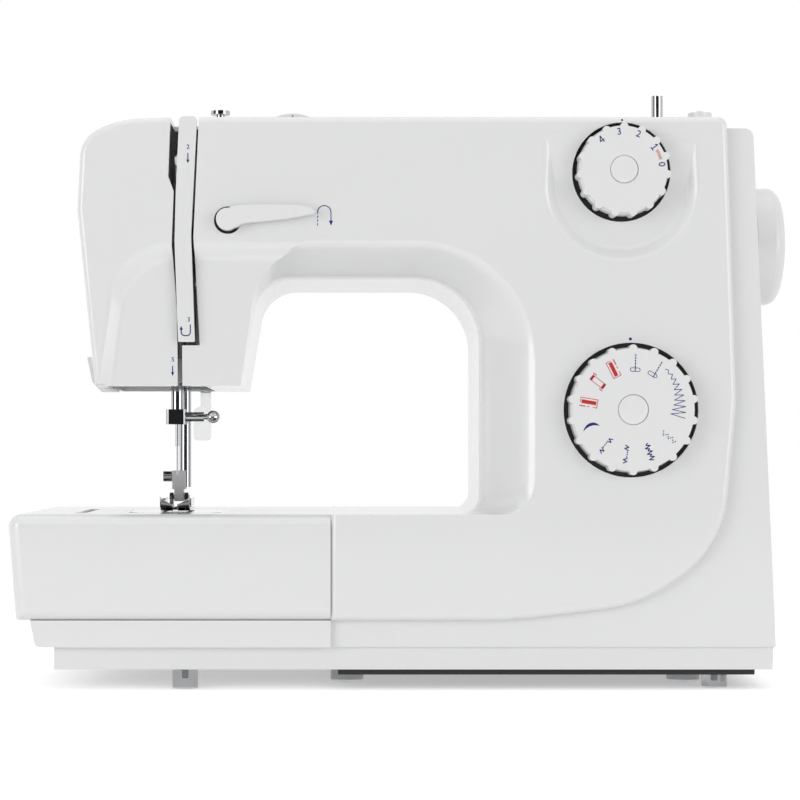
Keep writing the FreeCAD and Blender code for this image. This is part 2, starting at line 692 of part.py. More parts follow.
# The strip between the two thread slots, with a tongue that grips the front cover's inside
strip_left = [("seam_x + 2.0", "body_top"), ("seam_x + 0.6", "body_top - 1.4"),
              ("seam_x - 1.0", "body_top - 36"), ("seam_x - 1.6", "body_top - 60"),
              ("seam_x + 0.2", "head_bottom + 21")]
strip_right = [("seam_x + 8.2", "head_bottom + 21"), ("seam_x + 6.4", "body_top - 58"),
               ("seam_x + 9.2", "body_top - 1.4"), ("seam_x + 7.8", "body_top")]
strip_front = plate_xz(strip_left + strip_right, "front_y", "wall")
tongue = block(("seam_x + 3", "front_y + wall", "body_top - 17"),
               ("seam_x + 20", "front_y + 2 * wall", "body_top - 6"))
subpart(fuse(strip_front, tongue), "thread_guide_strip")

# Base plate and feet
subpart(block(("bed_left + 3.5", "front_y + 13", "base_z - plate_thick"),
              ("right_bottom - 9.4", "bed_back_y - 8", "base_z")),
        "base_plate")
base_feet = [
    cylinder("foot_radius", "base_z - plate_thick", ("right_bottom - 28", "front_y + 20", "0")),
    cylinder("foot_radius", "base_z - plate_thick", ("right_bottom - 28", "bed_back_y - 20", "0")),
    cylinder("foot_radius + 2", "base_z - plate_thick", ("right_bottom - 38.5", "front_y + 52", "0")),
    cylinder("foot_radius + 2", "base_z - plate_thick", ("bed_left + 8", "front_y + 52", "0")),
    cylinder("foot_radius + 2", "base_z - plate_thick", ("bed_left + 8", "bed_back_y - 20", "0")),
]
subpart(group(base_feet), "base_feet")

# Cast frame: arm, column, bed, bearing bosses and ears
FRAME = ("frame_y", "frame_y + frame_thick")
SHAFTS = {
    "upper": ("shaft_z", "shaft_radius", ("left_bush_x", "right_bush_x")),
    "lower": ("lower_z", "lower_radius", ("lower_left_bush_x", "lower_right_bush_x")),
}


def bush_radius(shaft_radius):
    return f"{shaft_radius} + bush_wall"


frame_pieces = [
    block(("needle_x - 6.5", FRAME[0], "shaft_z - 13"), ("right_bush_x + 19", FRAME[1], "shaft_z + 21")),
    block(("arch_right + 8.5", FRAME[0], "base_z + wall"),
          ("lower_right_bush_x + 18", FRAME[1], "shaft_z + 21")),
    block(("needle_x - 8.5", FRAME[0], "lower_z - 12"),
          ("lower_right_bush_x + 18", FRAME[1], "lower_z - 4")),
    block(("arch_right + 8.5", "shaft_y - 17", "base_z + wall"),
          ("lower_right_bush_x + 18", "frame_y + 26", "base_z + wall + 4")),
    block(("needle_x - 8.5", "presser_y + 2", "lower_z - 4"),
          ("needle_x + 8.5", "frame_y + 4", "bed_top - 9.3")),
    block(("needle_x - 8.5", "frame_y", "lower_z - 8"), ("needle_x + 8.5", "frame_y + 4", "lower_z - 4")),
    block(("lever_x - 5", FRAME[0], "lever_z - 2.7"), ("lever_x - 2", "lever_y + 6", "shaft_z - 5")),
    block(("tension_x - 8", FRAME[0], "shaft_z + 18"),
          ("tension_x + 8", FRAME[1], "body_top + tension_rise - tension_radius + 8")),
]
frame_bores = []
for height, radius, bush_ends in SHAFTS.values():
    outer = bush_radius(radius)
    for end in bush_ends:
        low = (end, f"shaft_y - {outer} - boss_wall", f"{height} - ({outer}) - boss_wall")
        high = (f"{end} + bush_length", "frame_y", f"{height} + {outer} + boss_wall")
        frame_pieces.append(block(low, high))
        frame_bores.append(cylinder(outer, "bush_length + 2", (f"{end} - 1", "shaft_y", height), "X"))
frame_bores.append(cylinder("3", "frame_thick + 20",
                            ("tension_x", "frame_y - 10",
                             "body_top + tension_rise - tension_radius"), "Y"))
lever_pin = cylinder("2.5", "lever_width + 5", ("lever_x - 5", "lever_y", "lever_z"), "X")
CARRIAGE_Z = "body_top - 16"
winder_shelf = block(("winder_x - 12", "winder_y - 12", f"{CARRIAGE_Z} + 4.3"),
                     ("winder_x + 18", "frame_y", f"{CARRIAGE_Z} + 7"))
winder_web = block(("winder_x - 8", "frame_y - 3", "shaft_z + 9"),
                   ("winder_x + 18", "frame_y", f"{CARRIAGE_Z} + 4.3"))
winder_slot = block(("winder_x - winder_radius - 1", "winder_y - winder_radius - 1", CARRIAGE_Z),
                    ("winder_x + winder_shift + winder_radius + 1", "winder_y + winder_radius + 1",
                     f"{CARRIAGE_Z} + 9"))
frame_bores.append(winder_slot)
subpart(fuse(cut(fuse(*frame_pieces, winder_shelf, winder_web), *frame_bores), lever_pin), "main_frame")

bushes = []
for height, radius, bush_ends in SHAFTS.values():
    for end in bush_ends:
        sleeve = cylinder(bush_radius(radius), "bush_length", (end, "shaft_y", height), "X")
        bushes.append(cut(sleeve,
                          cylinder(f"{radius} + running_gap", "bush_length + 2",
                                   (f"{end} - 1", "shaft_y", height), "X")))
subpart(group(bushes), "shaft_bushes")

# Bar guide: the bracket that carries the needle bar, the presser bar and the take-up pivot
guide_back = block(("needle_x - 6.5", "frame_y - 4", "lug_low_z"),
                   ("needle_x + 8", "frame_y", "shaft_z + 21"))
guide_lugs = [
    block(("needle_x - 6.5", "shaft_y - 7", height),
          ("needle_x + 8", "frame_y - 4", f"{height} + lug_height"))
    for height in ("lug_low_z", "lug_high_z")
]
take_up_arm = block(("needle_x + 4.5", "shaft_y - 23", "lug_high_z + 4"),
                    ("needle_x + 7.5", "shaft_y - 7", "lug_high_z + 29"))
bar_bores = [
    cylinder("needle_bar_radius + running_gap", "lug_high_z - lug_low_z + 20",
             ("needle_x", "shaft_y", "lug_low_z - 4")),
    cylinder("presser_radius + running_gap", "lug_high_z - lug_low_z + 20",
             ("presser_x", "presser_y", "lug_low_z - 4")),
]
TAKE_UP_Y, TAKE_UP_Z = "shaft_y - 19", "lug_high_z + 25"
take_up_pivot = cylinder("2", "6.5", ("needle_x + 1", TAKE_UP_Y, TAKE_UP_Z), "X")
subpart(fuse(cut(fuse(guide_back, *guide_lugs, take_up_arm), *bar_bores), take_up_pivot), "bar_guide")

# Upper drive
subpart(cylinder("shaft_radius", "handwheel_left + 12 - crank_left - crank_width",
                 ("crank_left + crank_width", "shaft_y", "shaft_z"), "X"),
        "upper_shaft")
crank_disc = cylinder("crank_radius", "crank_width", ("crank_left", "shaft_y", "shaft_z"), "X")
crank_trim = block(("crank_left - 1", "shaft_y - crank_radius - 1", "shaft_z + 8"),
                   ("crank_left + crank_width + 1", "shaft_y - 9", "shaft_z + 30"))
crank_trim_back = block(("crank_left - 1", "shaft_y + 9", "shaft_z + 8"),
                        ("crank_left + crank_width + 1", "shaft_y + crank_radius + 1", "shaft_z + 30"))
crank_pin = cylinder("crank_pin_radius", "rod_width + 2",
                     ("crank_left - rod_width - 2", "shaft_y", "shaft_z + needle_stroke / 2"), "X")
subpart(fuse(cut(crank_disc, crank_trim, crank_trim_back), crank_pin), "crank_disc")

ROD_LEFT = "crank_left - rod_width - 1.5"
ROD_TOP = "shaft_z + needle_stroke / 2"
ROD_FOOT = "lug_low_z + 52"
rod_pieces = [
    cylinder("crank_pin_radius + 3.5", "rod_width", (ROD_LEFT, "shaft_y", ROD_TOP), "X"),
    cylinder("5", "rod_width", (ROD_LEFT, "shaft_y", ROD_FOOT), "X"),
    block((ROD_LEFT, "shaft_y - 3", ROD_FOOT), (f"{ROD_LEFT} + rod_width", "shaft_y + 3", ROD_TOP)),
]
rod_bores = [
    cylinder("crank_pin_radius + running_gap", "rod_width + 2", (f"{ROD_LEFT} - 1", "shaft_y", ROD_TOP),
             "X"),
    cylinder("2.6", "rod_width + 2", (f"{ROD_LEFT} - 1", "shaft_y", ROD_FOOT), "X"),
]
subpart(cut(fuse(*rod_pieces), *rod_bores), "connecting_rod")

WHEEL_WIDTH = "handwheel_right - handwheel_left"
handwheel = turned(("handwheel_left", "shaft_y", "shaft_z"), [
    ("0", "shaft_radius"),
    ("0", "handwheel_radius - 2"),
    ("1", "handwheel_radius - 0.4"),
    (f"{WHEEL_WIDTH} - 6.5", "handwheel_radius"),
    (f"{WHEEL_WIDTH} - 4.2", "handwheel_radius - 0.7"),
    (f"{WHEEL_WIDTH} - 2.4", "handwheel_radius - 2.2"),
    (f"{WHEEL_WIDTH} - 1.2", "handwheel_radius - 4.4"),
    (f"{WHEEL_WIDTH} - 0.5", "handwheel_radius - 7.4"),
    (WHEEL_WIDTH, "handwheel_radius - 12.5"),
    (f"{WHEEL_WIDTH} - 1.5", "handwheel_radius - 15.5"),
    (f"{WHEEL_WIDTH} - 2", "0"),
    ("12", "0"),
    ("12", "shaft_radius"),
])
subpart(handwheel, "handwheel")


def flanged_pulley(radius, left, shaft_radius, y, z):
    """A belt pulley with two flanges, bored for its shaft."""
    rim = cylinder(radius, "pulley_width", (left, y, z), "X")
    flanges = [
        cylinder(f"{radius} + flange_rise", "flange", (start, y, z), "X")
        for start in (left, f"{left} + pulley_width - flange")
    ]
    return cut(fuse(rim, *flanges),
               cylinder(shaft_radius, "pulley_width + 2", (f"{left} - 1", y, z), "X"))


subpart(flanged_pulley("big_pulley_radius", "belt_pulley_x", "shaft_radius", "shaft_y", "shaft_z"),
        "drive_pulley")
motor_pulley = flanged_pulley("motor_pulley_radius", "belt_pulley_x", "motor_shaft_radius", "motor_y",
                              "motor_z")
motor_shaft = cylinder("motor_shaft_radius", "belt_pulley_x + pulley_width + 20 - motor_right",
                       ("motor_right - 18", "motor_y", "motor_z"), "X")
subpart(fuse(motor_pulley, motor_shaft), "motor_rotor")
subpart(flanged_pulley("timing_big_radius", "timing_pulley_x", "shaft_radius", "shaft_y", "shaft_z"),
        "upper_timing_pulley")


def belt_outline(x, first, first_radius, second, second_radius):
    """A closed wire round two circles in the YZ plane."""
    (y_a, z_a), (y_b, z_b) = first, second
    gap = math.hypot(y_b - y_a, z_b - z_a)
    line = math.atan2(z_b - z_a, y_b - y_a)
    lean = math.acos((first_radius - second_radius) / gap)

    def on(centre, radius, angle):
        return Vector(x, centre[0] + radius * math.cos(angle), centre[1] + radius * math.sin(angle))

    a_left, a_right = on(first, first_radius, line + lean), on(first, first_radius, line - lean)
    b_left, b_right = on(second, second_radius, line + lean), on(second, second_radius, line - lean)
    return Part.Wire([
        Part.Arc(a_left, on(first, first_radius, line + math.pi), a_right).toShape(),
        Part.LineSegment(a_right, b_right).toShape(),
        Part.Arc(b_right, on(second, second_radius, line), b_left).toShape(),
        Part.LineSegment(b_left, a_left).toShape(),
    ])


def belt(left, first, first_radius, second, second_radius):
    """A belt between the flanges of two pulleys."""
    x = size(f"{left} + flange + belt_gap")
    width = size("pulley_width - 2 * flange - 2 * belt_gap")
    rims = [size("belt_gap"), size("belt_gap + belt_thick")]
    inner, outer = (
        Part.Face(belt_outline(x, first, size(first_radius) + r, second,
                               size(second_radius) + r)).extrude(Vector(width, 0, 0))
        for r in rims
    )
    return feature(outer.cut(inner))


upper_axis = (size("shaft_y"), size("shaft_z"))
subpart(belt("belt_pulley_x", upper_axis, "big_pulley_radius", (size("motor_y"), size("motor_z")),
             "motor_pulley_radius"), "motor_belt")
subpart(belt("timing_pulley_x", upper_axis, "timing_big_radius", (size("shaft_y"), size("lower_z")),
             "timing_small_radius"), "timing_belt")

# Motor on its bracket
motor_case = cylinder("motor_radius", "motor_right - motor_left", ("motor_left", "motor_y", "motor_z"),
                      "X")
motor_nose = cylinder("motor_shaft_radius + 5", "5", ("motor_right", "motor_y", "motor_z"), "X")
motor_bore = cylinder("motor_shaft_radius + running_gap", "30",
                      ("motor_right - 20", "motor_y", "motor_z"), "X")
saddle = block(("motor_left + 10", "motor_y - 20", "base_z + wall"),
               ("motor_right - 10", "motor_y + 20", "motor_z - 8"))
subpart(cut(fuse(motor_case, motor_nose, saddle), motor_bore), "motor_housing")

# Lower shaft, hook and bobbin
lower_pulley = flanged_pulley("timing_small_radius", "timing_pulley_x", "lower_radius", "shaft_y",
                              "lower_z")
lower_rod = cylinder("lower_radius", "timing_pulley_x + pulley_width + 3 - hook_right",
                     ("hook_right", "shaft_y", "lower_z"), "X")
subpart(fuse(lower_pulley, lower_rod), "lower_shaft")
hook_cup = cylinder("hook_radius", "hook_right - hook_left", ("hook_left", "shaft_y", "lower_z"), "X")
hook_hollow = cylinder("hook_bore", "hook_right - hook_left - 2", ("hook_left", "shaft_y", "lower_z"),
                       "X")
hook_notch = block(("hook_left - 1", "shaft_y + 2", "lower_z + 4"),
                   ("hook_left + 6", "shaft_y + hook_radius + 1", "lower_z + hook_radius + 1"))
subpart(cut(hook_cup, hook_hollow, hook_notch), "hook")
case_cup = cylinder("hook_bore - case_clearance", "bobbin_right + 1.4 - hook_left",
                    ("hook_left", "shaft_y", "lower_z"), "X")
case_hollow = cylinder("bobbin_radius + case_clearance", "bobbin_right + 1.4 - hook_left",
                       ("hook_left - 1", "shaft_y", "lower_z"), "X")
case_post = cylinder("3", "bobbin_right + 1 - hook_left - 0.4",
                     ("hook_left + 0.4", "shaft_y", "lower_z"), "X")
case_finger = block(("hook_left - 2.6", "shaft_y - 2.5", "arm_bottom + wall"),
                    ("hook_left - 0.4", "shaft_y + 2.5",
                     "lower_z - bobbin_radius - case_clearance - 0.3"))
case_bridge = block(("hook_left - 2.6", "shaft_y - 2.5", "lower_z - hook_bore + case_clearance + 0.4"),
                    ("hook_left + 1", "shaft_y + 2.5", "lower_z - bobbin_radius - case_clearance - 0.3"))
subpart(fuse(cut(case_cup, case_hollow), case_post, case_finger, case_bridge), "bobbin_case")
bobbin_core = cylinder("5", "bobbin_right - bobbin_left", ("bobbin_left", "shaft_y", "lower_z"), "X")
bobbin_flanges = [
    cylinder("bobbin_radius", "1", (start, "shaft_y", "lower_z"), "X")
    for start in ("bobbin_left", "bobbin_right - 1")
]
bobbin_bore = cylinder("3 + running_gap", "20", ("bobbin_left - 5", "shaft_y", "lower_z"), "X")
subpart(cut(fuse(bobbin_core, *bobbin_flanges), bobbin_bore), "bobbin")

# Needle bar group
clamp_body = block(("needle_x - 5.5", "shaft_y - 5", "clamp_bottom"),
                   ("needle_x + 4.5", "shaft_y + 5", "clamp_bottom + clamp_height"))
clamp_bore = cylinder("needle_bar_radius", "clamp_height + 2",
                      ("needle_x", "shaft_y", "clamp_bottom - 1"))
clamp_rounded = rounded(clamp_body, "1.5", runs_along("Z"))
screw_z = "clamp_bottom + clamp_height / 2"
screw_shank = cylinder("2.4", "9", ("needle_x + 4.5", "shaft_y", screw_z), "X")
screw_neck = cylinder("1.4", "3", ("needle_x + 13.5", "shaft_y", screw_z), "X")
thumb = cylinder("3.2", "3", ("needle_x + 18.2", "shaft_y - 1.5", screw_z), "Y")
subpart(fuse(cut(clamp_rounded, clamp_bore), screw_shank, screw_neck, thumb), "needle_clamp")
needle_shank = cylinder("1", "12", ("needle_x", "shaft_y", "needle_seat - 12"))
needle_blade = cylinder("0.5", "needle_seat - 12 - needle_tip - 3",
                        ("needle_x", "shaft_y", "needle_tip + 3"))
needle_point = cone("0.06", "0.5", "3", ("needle_x", "shaft_y", "needle_tip"))
subpart(fuse(needle_shank, needle_blade, needle_point), "needle")
link_body = block(("needle_x - 4.5", "shaft_y - 5", f"{ROD_FOOT} - 6"),
                  ("needle_x + 4", "shaft_y + 5", f"{ROD_FOOT} + 6"))
link_stud = cylinder("2.5", "4", ("needle_x + 4", "shaft_y", ROD_FOOT), "X")
bar = cylinder("needle_bar_radius", "needle_bar_top - needle_seat",
               ("needle_x", "shaft_y", "needle_seat"))
subpart(fuse(bar, link_body, link_stud), "needle_bar")

# Take-up lever on the bar guide's pin
take_up_plate = plate_yz([
    (f"{TAKE_UP_Y} + 5", f"{TAKE_UP_Z} - 5"), (f"{TAKE_UP_Y} + 5", f"{TAKE_UP_Z} + 5"),
    (f"{TAKE_UP_Y} - 27", f"{TAKE_UP_Z} + 17"), (f"{TAKE_UP_Y} - 31", f"{TAKE_UP_Z} + 15.5"),
    (f"{TAKE_UP_Y} - 29", f"{TAKE_UP_Z} + 11"), (f"{TAKE_UP_Y} - 5", f"{TAKE_UP_Z} - 3"),
], "needle_x + 2.1", "2")
take_up_eye = cylinder("1.2", "6", ("needle_x", f"{TAKE_UP_Y} - 27.5", f"{TAKE_UP_Z} + 14"), "X")
take_up_bore = cylinder("2 + running_gap", "6", ("needle_x", TAKE_UP_Y, TAKE_UP_Z), "X")
subpart(cut(take_up_plate, take_up_eye, take_up_bore), "take_up_lever")

# Presser bar group
presser_rod = cylinder("presser_radius", "presser_top - presser_foot_z",
                       ("presser_x", "presser_y", "presser_foot_z"))
subpart(fuse(presser_rod, cylinder("5", "6", ("presser_x", "presser_y", "lug_low_z + 30"))),
        "presser_bar")
ankle_body = block(("needle_x - 3.4", "presser_y - 5", "presser_foot_z - 1"),
                   ("presser_x + 0.6", "presser_y + 5", "presser_foot_z + 8.5"))
ankle_fork = block(("needle_x - 2.4", "presser_y - 4", "bed_top + foot_gap + 4.2"),
                   ("needle_x + 2.4", "presser_y + 4", "presser_foot_z - 1"))
ankle_bore = cylinder("presser_radius", "16", ("presser_x", "presser_y", "presser_foot_z"))
FOOT_PIN_Z = "bed_top + foot_gap + 6.4"
foot_pin = cylinder("1.1", "10.4", ("needle_x - 5.2", "presser_y", FOOT_PIN_Z), "X")
subpart(fuse(cut(fuse(ankle_body, ankle_fork), ankle_bore), foot_pin), "foot_ankle")
subpart(fuse(cylinder("2.7", "4.4", ("needle_x - 8.2", "presser_y", "presser_foot_z + 5.5"), "X"),
             cylinder("1.5", "0.4", ("needle_x - 3.8", "presser_y", "presser_foot_z + 5.5"),
                      "X")), "foot_screw")

SOLE = "bed_top + foot_gap"
foot_body = plate_yz([
    ("shaft_y + 21", SOLE), ("shaft_y + 21", f"{SOLE} + 1.6"), ("shaft_y - 12", f"{SOLE} + 1.6"),
    ("shaft_y - 18", f"{SOLE} + 3.6"), ("shaft_y - 19", f"{SOLE} + 2.4"), ("shaft_y - 13", SOLE),
], "needle_x - foot_width / 2", "foot_width")
foot_ears = [
    block((f"needle_x {side}", "presser_y - 3.5", f"{SOLE} + 1.6"),
          (f"needle_x {side} + 2", "presser_y + 3.5", f"{SOLE} + 8.6"))
    for side in ("- 4.8", "+ 2.8")
]
foot_wings = [
    block((f"needle_x {side}", "shaft_y - 6", f"{SOLE} + 1.6"),
          (f"needle_x {side} + 1.4", "presser_y + 3.5", f"{SOLE} + 6"))
    for side in ("- foot_width / 2", "+ foot_width / 2 - 1.4")
]
foot_slot = block(("needle_x - 3.5", "shaft_y - 2.5", f"{SOLE} - 1"),
                  ("needle_x + 3.5", "shaft_y + 2.5", f"{SOLE} + 3"))
foot_split = block(("needle_x - 1.2", "shaft_y - 25", f"{SOLE} - 1"),
                   ("needle_x + 1.2", "shaft_y - 2", f"{SOLE} + 6"))
foot_pin_bore = cylinder("1.1 + running_gap", "20", ("needle_x - 10", "presser_y", FOOT_PIN_Z), "X")
subpart(cut(fuse(foot_body, *foot_ears, *foot_wings), foot_slot, foot_split, foot_pin_bore),
        "presser_foot")

# Presser lever behind the bars
lever_plate = plate_xz([
    ("lever_x", "lever_z - 29"), ("lever_x + lever_width", "lever_z - 29"),
    ("lever_x + lever_width", "lever_z + 4"), ("lever_x + 3.6", "lever_z + 4"),
    ("lever_x + 3.6", "lever_z - 11"), ("lever_x", "lever_z - 13"),
], "lever_y - 2", "4")
lever_hub = cylinder("4.4", "lever_width - 3.6", ("lever_x + 3.6", "lever_y", "lever_z"), "X")
lever_bore = cylinder("2.5 + running_gap", "lever_width + 4", ("lever_x - 2", "lever_y", "lever_z"), "X")
lever_soft = rounded(lever_plate, "1.9",
                     lambda e: runs_along("Y")(e) and e.BoundBox.ZMax < size("lever_z - 12"))
subpart(cut(fuse(lever_soft, lever_hub), lever_bore), "presser_lever")

# Free arm, needle plate and bobbin door
arm_outer = block(("arm_left", "arm_front_y", "arm_bottom"), ("bed_left", "arm_rear_y", "bed_top"))
arm_outer = rounded(arm_outer, "4",
                    lambda e: runs_along("Y")(e) and e.BoundBox.XMax < size("arm_left + 1"))
arm_hollow = block(("arm_left + wall", "arm_front_y + wall", "arm_bottom + wall"),
                   ("bed_left + 1", "arm_rear_y - wall", "bed_top - wall"))
PLATE = {"left": "needle_x - 25", "right": "needle_x + 26", "front": "shaft_y - 33",
         "back": "shaft_y + 33", "thick": "1.6"}
plate_seat = block((PLATE["left"], PLATE["front"], f"bed_top - {PLATE['thick']}"),
                   (PLATE["right"], PLATE["back"], "bed_top + 1"))
hook_window = block(("needle_x - 14", "shaft_y - 24", "bed_top - wall - 1"),
                    ("needle_x + 16", "shaft_y + 27", "bed_top"))
DOOR = {"front": "shaft_y - 26", "back": "shaft_y + 26", "bottom": "arm_bottom + 4",
        "top": "arm_bottom + 32"}
door_window = block(("arm_left - 1", DOOR["front"], DOOR["bottom"]),
                    ("arm_left + wall + 1", DOOR["back"], DOOR["top"]))
HINGE_X, HINGE_Z = "arm_left + door_thick / 2", f"{DOOR['bottom']} + 2.2"
hinge_seat = cylinder("1 + running_gap", "56", (HINGE_X, "shaft_y - 28", HINGE_Z), "Y")
subpart(cut(arm_outer, arm_hollow, plate_seat, hook_window, door_window, hinge_seat), "free_arm_cover")
door_leaf = block(("arm_left", f"{DOOR['front']} + 0.4", f"{DOOR['bottom']} + 2.2"),
                  ("arm_left + door_thick", f"{DOOR['back']} - 0.4", f"{DOOR['top']} - 0.4"))
door_knuckle = cylinder("1.8", "51.2", (HINGE_X, f"{DOOR['front']} + 0.4", HINGE_Z), "Y")
door_trunnions = cylinder("1", "55.4", (HINGE_X, "shaft_y - 27.7", HINGE_Z), "Y")
subpart(fuse(door_leaf, door_knuckle, door_trunnions), "bobbin_door")

SLOT_OFFSETS = ("- 6.4", "+ 6.4")
needle_plate = block((PLATE["left"], PLATE["front"], f"bed_top - {PLATE['thick']}"),
                     (PLATE["right"], PLATE["back"], "bed_top"))
plate_holes = [
    block((f"needle_x {side} - 1.4", "shaft_y - 17", "bed_top - 5"),
          (f"needle_x {side} + 1.4", "shaft_y + 17", "bed_top + 5"))
    for side in SLOT_OFFSETS
]
plate_holes.append(block(("needle_x - 3.5", "shaft_y - 1.2", "bed_top - 5"),
                         ("needle_x + 3.5", "shaft_y + 1.2", "bed_top + 5")))
SCREWS = [(x, y) for x in ("needle_x - 20", "needle_x + 21") for y in ("shaft_y - 28",)]
plate_holes += [cylinder("2.6", "10", (x, y, "bed_top - 5")) for x, y in SCREWS]
subpart(cut(needle_plate, *plate_holes), "needle_plate")
plate_screws = [
    cut(cylinder("2.6", f"{PLATE['thick']} - 0.2", (x, y, f"bed_top - {PLATE['thick']}")),
        block((f"{x} - 3", f"{y} - 0.4", "bed_top - 0.8"), (f"{x} + 3", f"{y} + 0.4", "bed_top")))
    for x, y in SCREWS
]
subpart(group(plate_screws), "needle_plate_screws")

feed_pieces = []
for side in SLOT_OFFSETS:
    feed_pieces.append(block((f"needle_x {side} - 0.8", "shaft_y - 13", "bed_top - 4.4"),
                             (f"needle_x {side} + 0.8", "shaft_y + 24", "bed_top - 2.8")))
    TOOTH_PITCH, TEETH = 2.0, 13
    for tooth in range(TEETH):
        start = f"shaft_y - 13 + {tooth * TOOTH_PITCH}"
        feed_pieces.append(block((f"needle_x {side} - 0.8", start, "bed_top - 2.8"),
                                 (f"needle_x {side} + 0.8", f"{start} + 1.2", "bed_top - 0.2")))
feed_pieces.append(block(("needle_x - 8.4", "presser_y + 4.5", "bed_top - 9"),
                         ("needle_x + 8.4", "frame_y - 0.5", "bed_top - 2.8")))
subpart(fuse(*feed_pieces), "feed_dog")

# Extension table round the free arm
TABLE_TIERS = [
    # (left end at the top, left end at the foot, front inset, top, foot, round of the foot)
    ("table_left", "table_left + 4", "0", "bed_top", "panel_bottom", "1.4"),
    ("table_left + 11", "table_left + 13.5", "3", "panel_bottom", "plinth_top", "3"),
    ("table_left + 22", "table_left + 22", "panel_step + plinth_inset", "plinth_top", "base_z", "0"),
]


def table_block(inset):
    """The stacked tiers of the table as one block, or its hollow when inset by the wall."""
    made = None
    for index, (left_top, left_foot, back_off, top, foot, foot_round) in enumerate(TABLE_TIERS):
        roof = size(top) - inset if index == 0 else size(top) + inset
        floor = size(foot) + inset
        right = size("bed_left") - inset
        outline = [
            (size(left_foot) + inset, floor, max(size(foot_round) - inset, 0)),
            (right, floor, 0),
            (right, roof, 0),
            (size(left_top) + inset, roof, max(size("table_round") - inset, 1.0) if index == 0 else 0),
        ]
        tier = prism(outline, size(f"front_y + {back_off}") + inset,
                     size(f"bed_back_y - ({back_off})") - inset)
        if not inset and index == 0:
            left_end = size("table_left") + 5
            corners = [e for e in tier.Edges if e.BoundBox.XMax < left_end and e.BoundBox.ZLength > 20]
            tier = tier.makeFillet(size("table_round"), corners)
        made = tier if made is None else made.fuse(tier)
    return made


def make_table():
    wall, gap = size("wall"), size("table_gap")
    low = Vector(size("arm_left") - 3 * gap, size("arm_front_y") - gap, size("arm_bottom") - gap)
    high = Vector(size("bed_left") + 1, size("arm_rear_y") + gap, size("bed_top") + 5)
    liner = slab((low.x, low.y - wall, low.z - wall), (high.x, high.y + wall, high.z))
    hollow = table_block(wall).cut(liner)
    shell = table_block(0).cut(hollow).cut(slab(low, high))
    subpart(feature(shell), "extension_table")


make_table()
table_feet = [
    cylinder("foot_radius", "base_z", ("needle_x + 7", y, "0"))
    for y in ("front_y + 16", "bed_back_y - 16")
]
subpart(group(table_feet), "table_feet")


# Dials: ridged knobs on shafts, each with a cap and a dark seat behind the cover
def ridged_dial(name, back_y):
    """A knob with grip ridges round its rim, turning about Y."""
    radius = f"{name}_dial_radius"
    depth = f"front_y - dial_front_y + {back_y}"
    body = new_body((f"{name}_dial_x", "dial_front_y", f"{name}_dial_z"))
    rim = sketch_on(body, "XZ_Plane")
    draw_circle(rim, f"{radius} - ridge_rise")
    pad(body, rim, depth, backwards=True)
    body.Tip.Label = f"{name}_knob"
    ridge_sketch = sketch_on(body, "XZ_Plane")
    draw_circle(ridge_sketch, "dial_ridge", ("0", f"{radius} - dial_ridge"))
    ridge = pad(body, ridge_sketch, depth, backwards=True)
    pattern = body.newObject("PartDesign::PolarPattern", "Ridges")
    pattern.Originals = [ridge]
    pattern.Axis = (next(f for f in body.Origin.OriginFeatures if f.Role == "Y_Axis"), [""])
    pattern.Angle = 360
    pattern.setExpression("Occurrences", bound(f"{name}_ridges"))
    body.Tip = pattern
    cap_sketch = sketch_on(body, "XZ_Plane")
    draw_circle(cap_sketch, f"{name}_cap_radius")
    pocket(body, cap_sketch, "cap_thick")
    shaft_sketch = sketch_on(body, "XZ_Plane", f"-(front_y - dial_front_y + {back_y})")
    draw_circle(shaft_sketch, "dial_shaft_radius")
    pad(body, shaft_sketch, "14", backwards=True)
    return body


seats = []
DIAL_BACKS = {"length": "dish_depth - 0.5", "pattern": "1.5"}
for dial, back in DIAL_BACKS.items():
    subpart(ridged_dial(dial, back), f"{dial}_dial")
    seat_front = {"length": "front_y + dish_depth + wall", "pattern": "front_y + wall"}[dial]
    seat = cylinder(f"{dial}_dial_radius + dial_rim_gap + 2", "3",
                    (f"{dial}_dial_x", seat_front, f"{dial}_dial_z"), "Y")
    seat_bore = cylinder("dial_shaft_radius + running_gap", "5",
                         (f"{dial}_dial_x", f"{seat_front} - 1", f"{dial}_dial_z"), "Y")
    seat_trim = block((f"{dial}_dial_x - 40", "front_y", "body_top - wall"),
                      (f"{dial}_dial_x + 40", "front_y + 20", "body_top + 9"))
    seats.append(cut(seat, seat_bore, seat_trim))
subpart(group(seats), "dial_seats")

# Reverse lever
reverse_arm = plate_xz([
    ("reverse_x", "reverse_z - reverse_hub + 0.3"), ("reverse_x + 4.4", "reverse_z - 3.9"),
    ("reverse_x + 7.2", "reverse_z - 2.3"), ("reverse_x + 10.8", "reverse_z - 1.6"),
    ("reverse_x + 0.45 * reverse_reach", "reverse_z - 0.9"),
    ("reverse_x + 0.65 * reverse_reach", "reverse_z"),
    ("reverse_x + 0.82 * reverse_reach", "reverse_z + 1.2"),
    ("reverse_x + reverse_reach - 1", "reverse_z + 2.5"),
    ("reverse_x + reverse_reach", "reverse_z + 3.4"),
    ("reverse_x + reverse_reach - 2.4", "reverse_z + 5.8"),
    ("reverse_x + 0.82 * reverse_reach", "reverse_z + 6.6"),
    ("reverse_x + 0.6 * reverse_reach", "reverse_z + 6.9"),
    ("reverse_x + 13", "reverse_z + 6.9"), ("reverse_x + 4.6", "reverse_z + 6.4"),
    ("reverse_x", "reverse_z + reverse_hub - 0.2"),
], "front_y - reverse_thick - 0.6", "reverse_thick")
reverse_end = cylinder("reverse_hub", "reverse_thick",
                       ("reverse_x", "front_y - reverse_thick - 0.6", "reverse_z"), "Y")
reverse_shaft = cylinder("4", "18", ("reverse_x", "front_y - 0.6", "reverse_z"), "Y")
subpart(fuse(reverse_arm, reverse_end, reverse_shaft), "reverse_lever")
